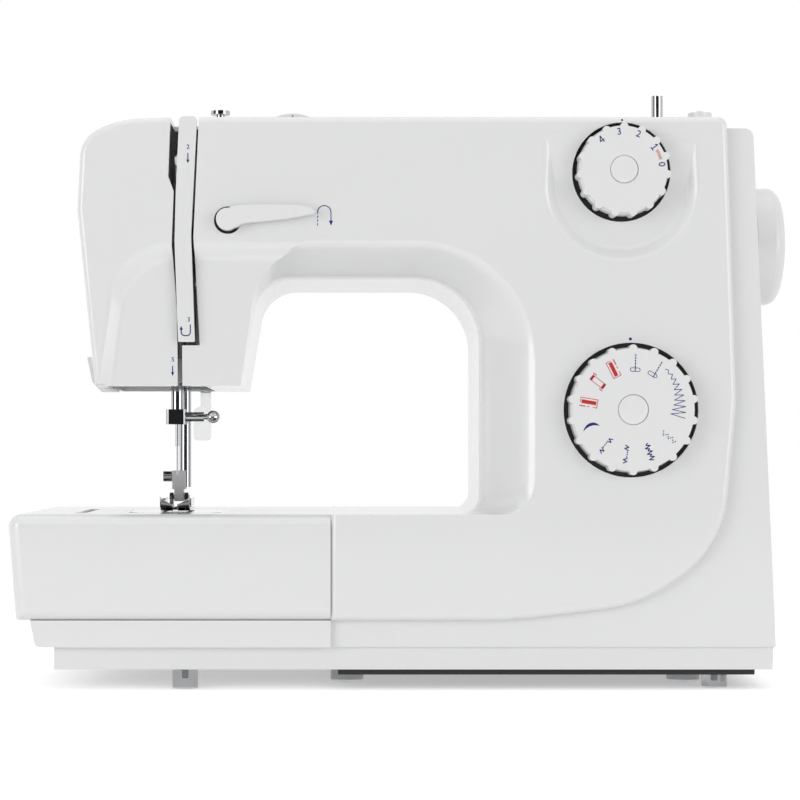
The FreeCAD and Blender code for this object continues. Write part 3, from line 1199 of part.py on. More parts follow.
reverse_ring = cylinder("reverse_hole + 2.5", "6", ("reverse_x", "front_y + wall", "reverse_z"), "Y")
reverse_bore = cylinder("4 + running_gap", "8", ("reverse_x", "front_y + wall - 1", "reverse_z"), "Y")
subpart(cut(reverse_ring, reverse_bore), "reverse_lever_bush")

# Tension wheel with its discs and post
TENSION_Z = "body_top + tension_rise - tension_radius"
wheel = cylinder("tension_radius", "tension_width",
                 ("tension_x", "tension_y - tension_width / 2", TENSION_Z), "Y")
wheel_bore = cylinder("3 + running_gap", "tension_width + 2",
                      ("tension_x", "tension_y - tension_width / 2 - 1", TENSION_Z), "Y")
subpart(cut(wheel, wheel_bore), "tension_wheel")
tension_rod = cylinder("3", "frame_y + frame_thick - tension_y + 8",
                       ("tension_x", "tension_y - 8", TENSION_Z), "Y")
discs = [
    cylinder("9", "1", ("tension_x", f"tension_y + tension_width / 2 + {gap}", TENSION_Z),
             "Y") for gap in (0.5, 1.9)
]
subpart(fuse(tension_rod, *discs), "tension_post")

# Bobbin winder: spindle and wheel on a sliding carriage under a bracket, and its stop
spindle_foot = cylinder("winder_radius + 0.4", f"body_top + 0.6 - ({CARRIAGE_Z} - 7)",
                        ("winder_x", "winder_y", f"{CARRIAGE_Z} - 7"))
spindle_tip = cylinder("winder_radius", "winder_rise - 0.6", ("winder_x", "winder_y", "body_top + 0.6"))
spindle_slit = block(("winder_x - 0.5", "winder_y - 4", "body_top + winder_rise - 12"),
                     ("winder_x + 0.5", "winder_y - 1.4", "body_top + winder_rise + 1"))
tyre = cylinder("14", "4", ("winder_x", "winder_y", f"{CARRIAGE_Z} - 6"))
subpart(fuse(cut(spindle_tip, spindle_slit), spindle_foot, tyre), "winder_spindle")
carriage = block(("winder_x - 9", "winder_y - 9", CARRIAGE_Z),
                 ("winder_x + 9", "winder_y + 9", f"{CARRIAGE_Z} + 4"))
subpart(cut(carriage, cylinder("winder_radius + 0.4 + running_gap", "6",
                               ("winder_x", "winder_y", f"{CARRIAGE_Z} - 1"))), "winder_carriage")
subpart(fuse(cylinder("stop_radius", "stop_height", ("stop_x", "winder_y", "body_top")),
             cylinder("stop_radius - 4.4", "1.1",
                      ("stop_x", "winder_y", "body_top + stop_height"))), "winder_stop")

# Upper thread guide, spool pins and their sleeves
subpart(fuse(cylinder("2.2", "guide_rise", ("guide_x", "guide_y", "body_top")),
             cylinder("4.8", "1.9",
                      ("guide_x", "guide_y", "body_top + guide_rise"))), "upper_thread_guide")
sleeves = []
for index, side in enumerate(("left", "right")):
    pin_x = f"spool_first_x + {index} * spool_pitch"
    pin = cylinder("spool_radius", "spool_length", (pin_x, "spool_y", "body_top + 0.3 - spool_length"))
    pin_cap = cylinder("spool_radius + 2", "1.6", (pin_x, "spool_y", "body_top + 0.3"))
    subpart(fuse(pin, pin_cap), f"spool_pin_{side}")
    sleeve = cylinder("spool_radius + 2.5", "32", (pin_x, "spool_y", "body_top - wall - 32"))
    sleeves.append(cut(sleeve,
                       cylinder("spool_radius + running_gap", "34",
                                (pin_x, "spool_y", "body_top - wall - 33"))))
subpart(group(sleeves), "spool_pin_sleeves")

# Lamp in the head, and the thread cutter on the face cover
lamp_socket = block(("needle_x - 32", "shaft_y + 15", "arch_top - 16"),
                    ("needle_x - 20", "shaft_y + 29", "arch_top + 4"))
lamp_arm = block(("needle_x - 20", "frame_y - 4", "arch_top - 10"),
                 ("needle_x - 6.5", "frame_y", "arch_top"))
subpart(fuse(lamp_socket, lamp_arm), "lamp_holder")
bulb_neck = cylinder("4", "8", ("needle_x - 26", "shaft_y + 22", "arch_top - 24"))
bulb_glass = cone("5", "6", "16", ("needle_x - 26", "shaft_y + 22", "arch_top - 40"))
subpart(fuse(bulb_neck, bulb_glass), "lamp_bulb")
subpart(plate_xz([
    ("head_foot_left + 6", "head_bottom"), ("head_foot_left - 1", "head_bottom"),
    ("head_foot_left - 5", "head_bottom + 4"), ("head_foot_left - 7.8", "head_bottom + 16"),
    ("head_foot_left - 9.2", "head_bottom + 15.6"), ("head_foot_left - 6.6", "head_bottom + 3"),
    ("head_foot_left - 2", "head_bottom - 1.8"), ("head_foot_left + 6", "head_bottom - 1.8"),
], "shaft_y - 10", "11"), "thread_cutter")

# Power socket, its contact pins and the rocker switch in the right side
SOCKET_RISE = "(socket_bottom + socket_height - base_z) / (body_top - base_z)"
RIGHT_LOW = f"right_bottom - (right_bottom - right_top) * {SOCKET_RISE}"
socket_case = block((f"{RIGHT_LOW} - 11.5", "socket_y", "socket_bottom"),
                    (f"{RIGHT_LOW} - 0.4", "socket_y + socket_width", "socket_bottom + socket_height"))
socket_well = block((f"{RIGHT_LOW} - 9", "socket_y + 3", "socket_bottom + 3.5"),
                    (f"{RIGHT_LOW} + 2", "socket_y + socket_width - 3",
                     "socket_bottom + socket_height - 3.5"))
socket_shell = cut(socket_case, socket_well)
contacts = [
    cylinder("1.3", "4", (f"{RIGHT_LOW} - 9", f"socket_y + socket_width / 2 {side}",
                          "socket_bottom + socket_height / 2"), "X")
    for side in ("- 6", "", "+ 6")
]
SWITCH_Z = "socket_bottom + socket_height / 2"
rocker = block((f"{RIGHT_LOW} - 7", "switch_y", f"{SWITCH_Z} - switch_height / 2"),
               (f"{RIGHT_LOW} + 1.2", "switch_y + switch_width", f"{SWITCH_Z} + switch_height / 2"))
rocker_bore = cylinder("1.5 + running_gap", "switch_width + 4",
                       (f"{RIGHT_LOW} - 4", "switch_y - 2", SWITCH_Z), "Y")
subpart(cut(rocker, rocker_bore), "power_switch")
switch_ears = [
    block((f"{RIGHT_LOW} - 8", start, f"{SWITCH_Z} - 5"), (f"{RIGHT_LOW} - 3.2", end, f"{SWITCH_Z} + 5"))
    for start, end in (("switch_y - 2.9", "switch_y - 0.4"),
                       ("switch_y + switch_width + 0.4", "switch_y + switch_width + 2.9"))
]
switch_axle = cylinder("1.5", "switch_width + 5.8", (f"{RIGHT_LOW} - 4", "switch_y - 2.9", SWITCH_Z), "Y")
subpart(group([fuse(socket_shell, *contacts), fuse(*switch_ears, switch_axle)]), "power_inlet")

# Screws in the back of the rear cover
BACK_SCREWS = [("right_top - 16", "body_top - 16"), ("right_top - 16", "bed_top + 18"),
               ("arch_right + 16", "bed_top + 18"),
               ("head_foot_right - 16", "body_top - 16")]
back_screws = [
    cut(cylinder("3.6", "1.6", (x, "arm_back_y", z), "Y"),
        block((f"{x} - 2.4", "arm_back_y + 0.8", f"{z} - 0.4"),
              (f"{x} + 2.4", "arm_back_y + 3", f"{z} + 0.4")),
        block((f"{x} - 0.4", "arm_back_y + 0.8", f"{z} - 2.4"),
              (f"{x} + 0.4", "arm_back_y + 3", f"{z} + 2.4")))
    for x, z in BACK_SCREWS
]
subpart(group(back_screws), "cover_screws")


def check_and_export():
    """Stops on a failed object, then writes one STEP file for each sub-part."""
    doc.recompute()
    failed = [o.Name for o in doc.Objects if {"Invalid", "Error"} & set(o.State)]
    if failed:
        raise RuntimeError(f"these objects failed: {failed}")
    for item in subparts:
        if item.Shape.isNull() or not item.Shape.isValid() or not item.Shape.Solids:
            raise RuntimeError(f"{item.Label} has no valid solid")
    os.makedirs("parts", exist_ok=True)
    for item in subparts:
        item.Shape.exportStep(os.path.join("parts", f"{item.Label}.step"))
        print(item.Label, len(item.Shape.Solids), round(item.Shape.Volume, 1))


check_and_export()
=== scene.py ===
"""The finish of a free-arm household sewing machine, laid out as a Blender add-on.

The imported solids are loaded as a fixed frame. The operators give them their finishes and add
the dial caps, the printed marks, the small fittings and the studio.
"""

import math

import bmesh
import bpy
from mathutils import Matrix, Vector


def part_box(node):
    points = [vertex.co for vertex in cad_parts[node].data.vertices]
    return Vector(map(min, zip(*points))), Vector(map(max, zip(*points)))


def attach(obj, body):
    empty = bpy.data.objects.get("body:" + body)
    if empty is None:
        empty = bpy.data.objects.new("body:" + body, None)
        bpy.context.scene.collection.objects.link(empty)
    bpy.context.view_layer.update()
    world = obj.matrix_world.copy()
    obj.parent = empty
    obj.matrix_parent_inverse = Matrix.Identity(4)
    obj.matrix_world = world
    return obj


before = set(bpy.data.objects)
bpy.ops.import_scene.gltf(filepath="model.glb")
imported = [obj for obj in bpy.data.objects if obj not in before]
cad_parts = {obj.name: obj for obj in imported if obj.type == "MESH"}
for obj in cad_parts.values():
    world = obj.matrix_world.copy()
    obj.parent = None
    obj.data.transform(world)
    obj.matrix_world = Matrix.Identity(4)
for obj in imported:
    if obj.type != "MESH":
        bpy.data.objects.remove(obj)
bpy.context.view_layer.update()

bl_info = {
    "name": "Sewing machine finish",
    "version": (1, 0, 0),
    "blender": (4, 5, 0),
    "location": "3D View > Sidebar > Sewing machine",
    "description": "Finishes, printed marks and studio for a free-arm sewing machine",
    "category": "Object",
}

MM = 0.001

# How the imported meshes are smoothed
SEAM = 0.002 * MM
ROUNDED_ANGLE = math.radians(28.0)
CRISP_ANGLE = math.radians(40.0)

# Rounded edges of the controls
CONTROL_EDGES = {
    "length_dial": 1.1 * MM,
    "pattern_dial": 1.1 * MM,
    "reverse_lever": 1.6 * MM,
    "handwheel": 1.0 * MM,
    "tension_wheel": 0.6 * MM,
    "winder_stop": 0.5 * MM,
    "spool_pin_left": 0.5 * MM,
    "spool_pin_right": 0.5 * MM,
}

# Rings of the marks on the dials, in shares of the dial's radius
NUMERAL_RING = 0.80
DENSE_RING = (0.77, 0.83)
SIGN_RING = 0.70

# Middles of the printed signs in the front view, as (x, z)
REVERSE_SIGN = (-0.0383, 0.2301)
UPPER_STRIP_SIGN = (-0.1039, 0.2578)
LOWER_STRIP_SIGN = (-0.1048, 0.1744)
FACE_SIGN = (-0.1115, 0.1557)

# Widths of the finer printed lines
DENSE_LINE = 0.28 * MM
FRAME_LINE = 0.30 * MM
ZIGZAG_LINE = 0.32 * MM
SLOT_LINE = 0.40 * MM
REVERSE_LINE = 0.42 * MM
SHORT_LINE = 0.45 * MM

# The studio: a lamp's name, place, target, size and power setting, and a card's name, place and size
LAMPS = (
    ("Left lamp", (-1.3, -1.25, 0.26), (0.0, 0.0, 0.12), 1.0, "left_power"),
    ("Right lamp", (1.2, -1.25, 0.24), (0.0, 0.0, 0.12), 1.0, "right_power"),
    ("Top lamp", (0.0, 0.0, 1.5), (0.0, 0.0, 0.0), 1.2, "top_power"),
)
CARDS = (
    ("Left card", (-1.5, -0.6, 0.30), (0.9, 1.4)),
    ("Right card", (0.75, -1.45, 0.30), (0.5, 1.4)),
    ("Middle card", (-0.06, -1.75, 0.25), (1.9, 1.3)),
)


class FinishSettings(bpy.types.PropertyGroup):
    """Colours of the plastics, metals and inks."""

    casing_white: bpy.props.FloatVectorProperty(
        name="Casing white", description="Moulded casing", subtype="COLOR",
        default=(0.815, 0.818, 0.818))
    dial_white: bpy.props.FloatVectorProperty(
        name="Dial white", description="Dials, wheel and lever", subtype="COLOR",
        default=(0.815, 0.818, 0.818))
    # Also the colour of the painted shade on the thread guide strip inside the slot
    seat_black: bpy.props.FloatVectorProperty(
        name="Seat black", description="Dark plastic behind the dials and under the base",
        subtype="COLOR", default=(0.018, 0.018, 0.020))
    fitting_grey: bpy.props.FloatVectorProperty(
        name="Fitting grey", description="Grey plastic fittings inside", subtype="COLOR",
        default=(0.16, 0.16, 0.17))
    tab_tint: bpy.props.FloatVectorProperty(
        name="Tab tint", description="Milky tab of the presser lever", subtype="COLOR",
        default=(0.93, 0.935, 0.94))
    steel: bpy.props.FloatVectorProperty(
        name="Steel", description="Ground steel", subtype="COLOR", default=(0.30, 0.30, 0.31))
    chrome: bpy.props.FloatVectorProperty(
        name="Chrome", description="Plated fittings", subtype="COLOR", default=(0.48, 0.485, 0.495))
    satin: bpy.props.FloatVectorProperty(
        name="Satin", description="Satin plated ankle of the foot", subtype="COLOR",
        default=(0.72, 0.72, 0.73))
    cast: bpy.props.FloatVectorProperty(
        name="Casting", description="Cast frame and motor", subtype="COLOR", default=(0.42, 0.43, 0.44))
    bronze: bpy.props.FloatVectorProperty(
        name="Bronze", description="Bearing bushes", subtype="COLOR", default=(0.45, 0.30, 0.14))
    rubber: bpy.props.FloatVectorProperty(
        name="Rubber", description="Belts", subtype="COLOR", default=(0.020, 0.020, 0.020))
    foot_tint: bpy.props.FloatVectorProperty(
        name="Foot tint", description="Clear feet", subtype="COLOR", default=(0.58, 0.59, 0.60))
    glass_tint: bpy.props.FloatVectorProperty(
        name="Glass tint", description="Bulb of the lamp", subtype="COLOR", default=(0.95, 0.94, 0.90))
    ink_blue: bpy.props.FloatVectorProperty(
        name="Blue ink", description="Blue printed marks", subtype="COLOR", default=(0.008, 0.014, 0.19))
    ink_red: bpy.props.FloatVectorProperty(
        name="Red ink", description="Red printed marks", subtype="COLOR", default=(0.56, 0.018, 0.022))


class DetailSettings(bpy.types.PropertyGroup):
    """Sizes of the edges and the printed marks."""

    casing_edge: bpy.props.FloatProperty(
        name="Casing edge", description="Round of the casing's sharp edges", subtype="DISTANCE",
        default=0.0009, min=0.0)
    fitting_edge: bpy.props.FloatProperty(
        name="Fitting edge", description="Round of small edges", subtype="DISTANCE",
        default=0.0003, min=0.0)
    plated_edge: bpy.props.FloatProperty(
        name="Plated edge", description="Round of the clamp's and the foot's edges", subtype="DISTANCE",
        default=0.0008, min=0.0)
    steel_edge: bpy.props.FloatProperty(
        name="Steel edge", description="Round of the ground edges", subtype="DISTANCE",
        default=0.00015, min=0.0)
    cast_edge: bpy.props.FloatProperty(
        name="Cast edge", description="Round of the castings' and the lever tab's edges",
        subtype="DISTANCE", default=0.0006, min=0.0)
    foot_edge: bpy.props.FloatProperty(
        name="Foot edge", description="Round of the clear feet", subtype="DISTANCE",
        default=0.0009, min=0.0)
    ink_lift: bpy.props.FloatProperty(
        name="Ink lift", description="Height of a printed mark over its surface", subtype="DISTANCE",
        default=0.00006, min=0.0)
    sign_line: bpy.props.FloatProperty(
        name="Sign line", description="Width of a sign's bold line", subtype="DISTANCE",
        default=0.0005, min=0.0)
    numeral_height: bpy.props.FloatProperty(
        name="Numeral height", description="Height of the length dial's numerals", subtype="DISTANCE",
        default=0.0033, min=0.0)


class StageSettings(bpy.types.PropertyGroup):
    """Camera and lamps."""

    camera_distance: bpy.props.FloatProperty(
        name="Camera distance", description="Camera to front panel", subtype="DISTANCE",
        default=1.08, min=0.1)
    camera_height: bpy.props.FloatProperty(
        name="Camera height", description="Camera over the floor", subtype="DISTANCE", default=0.116)
    camera_side: bpy.props.FloatProperty(
        name="Camera side", description="Camera left or right of the middle", subtype="DISTANCE",
        default=-0.03075)
    camera_shift: bpy.props.FloatVectorProperty(
        name="Camera shift", description="Shift of the picture, in shares of its width", size=2,
        default=(0.075, 0.0625))
    view_width: bpy.props.FloatProperty(
        name="View width", description="Width seen at the front panel", subtype="DISTANCE",
        default=0.3846, min=0.01)
    left_power: bpy.props.FloatProperty(
        name="Left lamp", description="Power of the left lamp", subtype="POWER", default=9.4, min=0.0)
    right_power: bpy.props.FloatProperty(
        name="Right lamp", description="Power of the right lamp", subtype="POWER", default=6.8, min=0.0)
    top_power: bpy.props.FloatProperty(
        name="Top lamp", description="Power of the top lamp", subtype="POWER", default=3.6, min=0.0)
    floor_glow: bpy.props.FloatProperty(
        name="Floor glow", description="Light given off by the floor", default=0.42, min=0.0)
    sky_level: bpy.props.FloatProperty(
        name="Sky", description="Brightness of the surrounding light", default=0.58, min=0.0)


def finish_settings():
    return bpy.context.scene.machine_finish


def detail_settings():
    return bpy.context.scene.machine_detail


def stage_settings():
    return bpy.context.scene.machine_stage


# Shared surface effects


def new_group(name, inputs, outputs):
    """An empty shader node group with named sockets, and its two end nodes."""
    group = bpy.data.node_groups.new(name, "ShaderNodeTree")
    for socket, kind, default in inputs:
        made = group.interface.new_socket(socket, in_out="INPUT", socket_type=kind)
        if default is not None:
            made.default_value = default
    for socket, kind in outputs:
        group.interface.new_socket(socket, in_out="OUTPUT", socket_type=kind)
    return group, group.nodes.new("NodeGroupInput"), group.nodes.new("NodeGroupOutput")


def grain_group():
    """Fine moulding grain: a colour that drifts a little, a roughness and a bump height."""
    name = "Moulding grain"
    if name in bpy.data.node_groups:
        return bpy.data.node_groups[name]
    group, start, end = new_group(name, (
        ("Colour", "NodeSocketColor", None),
        ("Scale", "NodeSocketFloat", 900.0),
        ("Drift", "NodeSocketFloat", 0.02),
        ("Smoothest", "NodeSocketFloat", 0.2),
        ("Roughest", "NodeSocketFloat", 0.3),
    ), (
        ("Colour", "NodeSocketColor"),
        ("Roughness", "NodeSocketFloat"),
        ("Height", "NodeSocketFloat"),
    ))
    nodes, links = group.nodes, group.links
    place = nodes.new("ShaderNodeTexCoord")
    fine, broad = nodes.new("ShaderNodeTexNoise"), nodes.new("ShaderNodeTexNoise")
    fine.inputs["Detail"].default_value = 3.0
    broad.inputs["Scale"].default_value = 14.0
    broad.inputs["Detail"].default_value = 2.0
    links.new(place.outputs["Object"], fine.inputs["Vector"])
    links.new(place.outputs["Object"], broad.inputs["Vector"])
    links.new(start.outputs["Scale"], fine.inputs["Scale"])
    centred, drift = nodes.new("ShaderNodeMath"), nodes.new("ShaderNodeMath")
    centred.operation = "SUBTRACT"
    centred.inputs[1].default_value = 0.5
    drift.operation = "MULTIPLY_ADD"
    drift.inputs[2].default_value = 1.0
    links.new(broad.outputs["Fac"], centred.inputs[0])
    links.new(centred.outputs[0], drift.inputs[0])
    links.new(start.outputs["Drift"], drift.inputs[1])
    shade = nodes.new("ShaderNodeVectorMath")
    shade.operation = "SCALE"
    links.new(start.outputs["Colour"], shade.inputs[0])
    links.new(drift.outputs[0], shade.inputs["Scale"])
    rough = nodes.new("ShaderNodeMapRange")
    links.new(broad.outputs["Fac"], rough.inputs["Value"])
    links.new(start.outputs["Smoothest"], rough.inputs["To Min"])
    links.new(start.outputs["Roughest"], rough.inputs["To Max"])
    links.new(shade.outputs[0], end.inputs["Colour"])
    links.new(rough.outputs[0], end.inputs["Roughness"])
    links.new(fine.outputs["Fac"], end.inputs["Height"])
    return group


def ground_group():
    """Fine lines of ground metal along one direction: a roughness and a bump height."""
    name = "Ground lines"
    if name in bpy.data.node_groups:
        return bpy.data.node_groups[name]
    group, start, end = new_group(name, (
        ("Stretch", "NodeSocketVector", (400.0, 400.0, 4000.0)),
        ("Smoothest", "NodeSocketFloat", 0.2),
        ("Roughest", "NodeSocketFloat", 0.4),
    ), (
        ("Roughness", "NodeSocketFloat"),
        ("Height", "NodeSocketFloat"),
    ))
    nodes, links = group.nodes, group.links
    place = nodes.new("ShaderNodeTexCoord")
    stretch = nodes.new("ShaderNodeVectorMath")
    stretch.operation = "MULTIPLY"
    lines = nodes.new("ShaderNodeTexNoise")
    lines.inputs["Scale"].default_value = 1.0
    lines.inputs["Detail"].default_value = 4.0
    rough = nodes.new("ShaderNodeMapRange")
    links.new(place.outputs["Object"], stretch.inputs[0])
    links.new(start.outputs["Stretch"], stretch.inputs[1])
    links.new(stretch.outputs[0], lines.inputs["Vector"])
    links.new(lines.outputs["Fac"], rough.inputs["Value"])
    links.new(start.outputs["Smoothest"], rough.inputs["To Min"])
    links.new(start.outputs["Roughest"], rough.inputs["To Max"])
    links.new(rough.outputs[0], end.inputs["Roughness"])
    links.new(lines.outputs["Fac"], end.inputs["Height"])
    return group


def new_material(name):
    """A node material, its nodes, its links and its shader."""
    made = bpy.data.materials.new(name)
    made.use_nodes = True
    return made, made.node_tree.nodes, made.node_tree.links, made.node_tree.nodes["Principled BSDF"]


def add_group(nodes, tree, polish):
    """Places a shared effect with the material's smoothest and roughest polish."""
    group = nodes.new("ShaderNodeGroup")
    group.node_tree = tree
    group.inputs["Smoothest"].default_value, group.inputs["Roughest"].default_value = polish
    return group


def add_bump(nodes, links, shader, height, strength, distance):
    bump = nodes.new("ShaderNodeBump")
    bump.inputs["Strength"].default_value = strength
    bump.inputs["Distance"].default_value = distance
    links.new(height, bump.inputs["Height"])
    links.new(bump.outputs["Normal"], shader.inputs["Normal"])


def plastic(name, colour, polish, grain=900.0, drift=0.02, bump=0.03, coat=0.0):
    """Moulded plastic, rubber or ink with grain."""
    if name in bpy.data.materials:
        return bpy.data.materials[name]
    made, nodes, links, shader = new_material(name)
    group = add_group(nodes, grain_group(), polish)
    group.inputs["Colour"].default_value = (*colour, 1.0)
    group.inputs["Scale"].default_value = grain
    group.inputs["Drift"].default_value = drift
    links.new(group.outputs["Colour"], shader.inputs["Base Color"])
    links.new(group.outputs["Roughness"], shader.inputs["Roughness"])
    shader.inputs["Coat Weight"].default_value = coat
    shader.inputs["Coat Roughness"].default_value = 0.08
    add_bump(nodes, links, shader, group.outputs["Height"], bump, 0.0004)
    return made


def metal(name, colour, polish, stretch=(300.0, 300.0, 3000.0), bump=0.04):
    """Ground or plated metal with fine lines."""
    if name in bpy.data.materials:
        return bpy.data.materials[name]
    made, nodes, links, shader = new_material(name)
    group = add_group(nodes, ground_group(), polish)
    group.inputs["Stretch"].default_value = stretch
    shader.inputs["Base Color"].default_value = (*colour, 1.0)
    shader.inputs["Metallic"].default_value = 1.0
    links.new(group.outputs["Roughness"], shader.inputs["Roughness"])
    add_bump(nodes, links, shader, group.outputs["Height"], bump, 0.0002)
    return made


def clear(name, colour, polish, share, index):
    """Glass or clear plastic with a slightly uneven polish."""
    if name in bpy.data.materials:
        return bpy.data.materials[name]
    made, nodes, links, shader = new_material(name)
    shader.inputs["Base Color"].default_value = (*colour, 1.0)
    shader.inputs["Transmission Weight"].default_value = share
    shader.inputs["IOR"].default_value = index
    group = add_group(nodes, grain_group(), polish)
    group.inputs["Scale"].default_value = 600.0
    links.new(group.outputs["Roughness"], shader.inputs["Roughness"])
    add_bump(nodes, links, shader, group.outputs["Height"], 0.04, 0.0004)
    return made


def finishes():
    """Every finish of the machine by its short name."""
    colours = finish_settings()
    white = {"grain": 1400.0, "drift": 0.012}
    ink = {"polish": (0.35, 0.45), "grain": 1500.0, "drift": 0.05, "bump": 0.02}
    return {
        "casing": plastic(
            "White casing", colours.casing_white, (0.18, 0.25), bump=0.010, coat=0.45, **white),
        "dial": plastic(
            "White dial", colours.dial_white, (0.26, 0.34), bump=0.02, coat=0.2, **white),
        # Also gives the painted shade in the thread slot
        "black": plastic(
            "Black plastic", colours.seat_black, (0.42, 0.60), grain=1200.0, drift=0.10, bump=0.10),
        "grey": plastic(
            "Grey plastic", colours.fitting_grey, (0.38, 0.55), grain=1200.0, drift=0.08, bump=0.08),
        "tab": clear("Milky tab", colours.tab_tint, (0.30, 0.42), share=0.9, index=1.35),
        "steel": metal("Ground steel", colours.steel, (0.22, 0.42)),
        "chrome": metal("Plated metal", colours.chrome, (0.04, 0.12), bump=0.006),
        "satin": metal("Satin plating", colours.satin, (0.30, 0.42)),
        "cast": metal("Casting", colours.cast, (0.45, 0.65), stretch=(500.0, 500.0, 500.0), bump=0.12),
        "bronze": metal("Bronze", colours.bronze, (0.30, 0.45)),
        "rubber": plastic("Belt rubber", colours.rubber, (0.60, 0.80), grain=700.0, drift=0.10, bump=0.20),
        "foot": clear("Clear foot", colours.foot_tint, (0.06, 0.16), share=0.75, index=1.49),
        "glass": clear("Lamp glass", colours.glass_tint, (0.02, 0.08), share=0.9, index=1.45),
        "blue": plastic("Blue ink", colours.ink_blue, **ink),
        "red": plastic("Red ink", colours.ink_red, **ink),
    }


# Shape helpers


def dress(node, material, edge=0.0):
    """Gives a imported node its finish, smooth shading and rounded edges."""
    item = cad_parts[node]
    item.data.materials.clear()
    item.data.materials.append(material)
    item.data.polygons.foreach_set("use_smooth", [True] * len(item.data.polygons))
    weld = item.modifiers.new("Join seams", "WELD")
    weld.merge_threshold = SEAM
    if edge:
        bevel = item.modifiers.new("Rounded edges", "BEVEL")
        bevel.width = edge
        bevel.segments = 3
        bevel.limit_method = "ANGLE"
        bevel.angle_limit = ROUNDED_ANGLE
        bevel.use_clamp_overlap = True
    split = item.modifiers.new("Crisp corners", "EDGE_SPLIT")
    split.split_angle = CRISP_ANGLE
    split.use_edge_sharp = False
    level = item.modifiers.new("Level faces", "WEIGHTED_NORMAL")
    level.mode = "FACE_AREA_WITH_ANGLE"


def add_piece(name, mesh, material, body):
    """Adds a new piece that rides on a body."""
    item = bpy.data.objects.new(name, mesh)
    item.data.materials.append(material)
    bpy.context.scene.collection.objects.link(item)
    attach(item, body)


def mesh_from(shape, name):
    mesh = bpy.data.meshes.new(name)
    shape.normal_update()
    shape.to_mesh(mesh)
    shape.free()
    return mesh


def lathe(name, profile, centre, axis, material, body, steps=72):
    """A turned piece from (radius, along) points about an axis through the centre."""
    shape = bmesh.new()
    rings = []
    for radius, along in profile:
        if radius == 0.0:
            rings.append([shape.verts.new((0, 0, along))])
            continue
        ring = []
        for step in range(steps):
            turn = 2 * math.pi * step / steps
            ring.append(shape.verts.new((radius * math.cos(turn), radius * math.sin(turn), along)))
        rings.append(ring)
    for low, high in zip(rings, rings[1:]):
        for step in range(steps):
            after = (step + 1) % steps
            if len(low) == 1:
                shape.faces.new((low[0], high[after], high[step]))
            elif len(high) == 1:
                shape.faces.new((low[step], low[after], high[0]))
            else:
                shape.faces.new((low[step], low[after], high[after], high[step]))
    bmesh.ops.recalc_face_normals(shape, faces=shape.faces)
    upright = Vector((0, 0, 1)).rotation_difference(Vector(axis)).to_matrix().to_4x4()
    bmesh.ops.transform(shape, matrix=Matrix.Translation(Vector(centre)) @ upright, verts=shape.verts)
    for face in shape.faces:
        face.smooth = True
    add_piece(name, mesh_from(shape, name), material, body)


def surface_y(node, x, z):
    """Where a node's foremost surface lies at a point of the front view."""
    hit, place, _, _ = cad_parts[node].ray_cast(Vector((x, -1.0, z)), Vector((0.0, 1.0, 0.0)))
    if not hit:
        raise RuntimeError(f"{node} has no surface at {x:.4f}, {z:.4f}")
    return place.y


def middle_of(node):
    low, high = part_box(node)
    return (low + high) / 2


def face_of(node):
    """Where the front face of a dial lies and how large it is: middle in (x, z), y and radius."""
    low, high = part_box(node)
    return Vector(((low.x + high.x) / 2, (low.z + high.z) / 2)), low.y, (high.x - low.x) / 2


def mm(*points):
    """Points given in millimetres, in metres."""
    return [(u * MM, v * MM) for u, v in points]


# Numerals that read better drawn by strokes, in half heights about the middle
STROKE_NUMERALS = {
    "1": [[(-0.5, 0.5), (0.0, 1.0), (0.0, -1.0)], [(-0.5, -1.0), (0.5, -1.0)]],
    "4": [[(0.3, -1.0), (0.3, 1.0), (-0.6, -0.4), (0.7, -0.4)]],
}


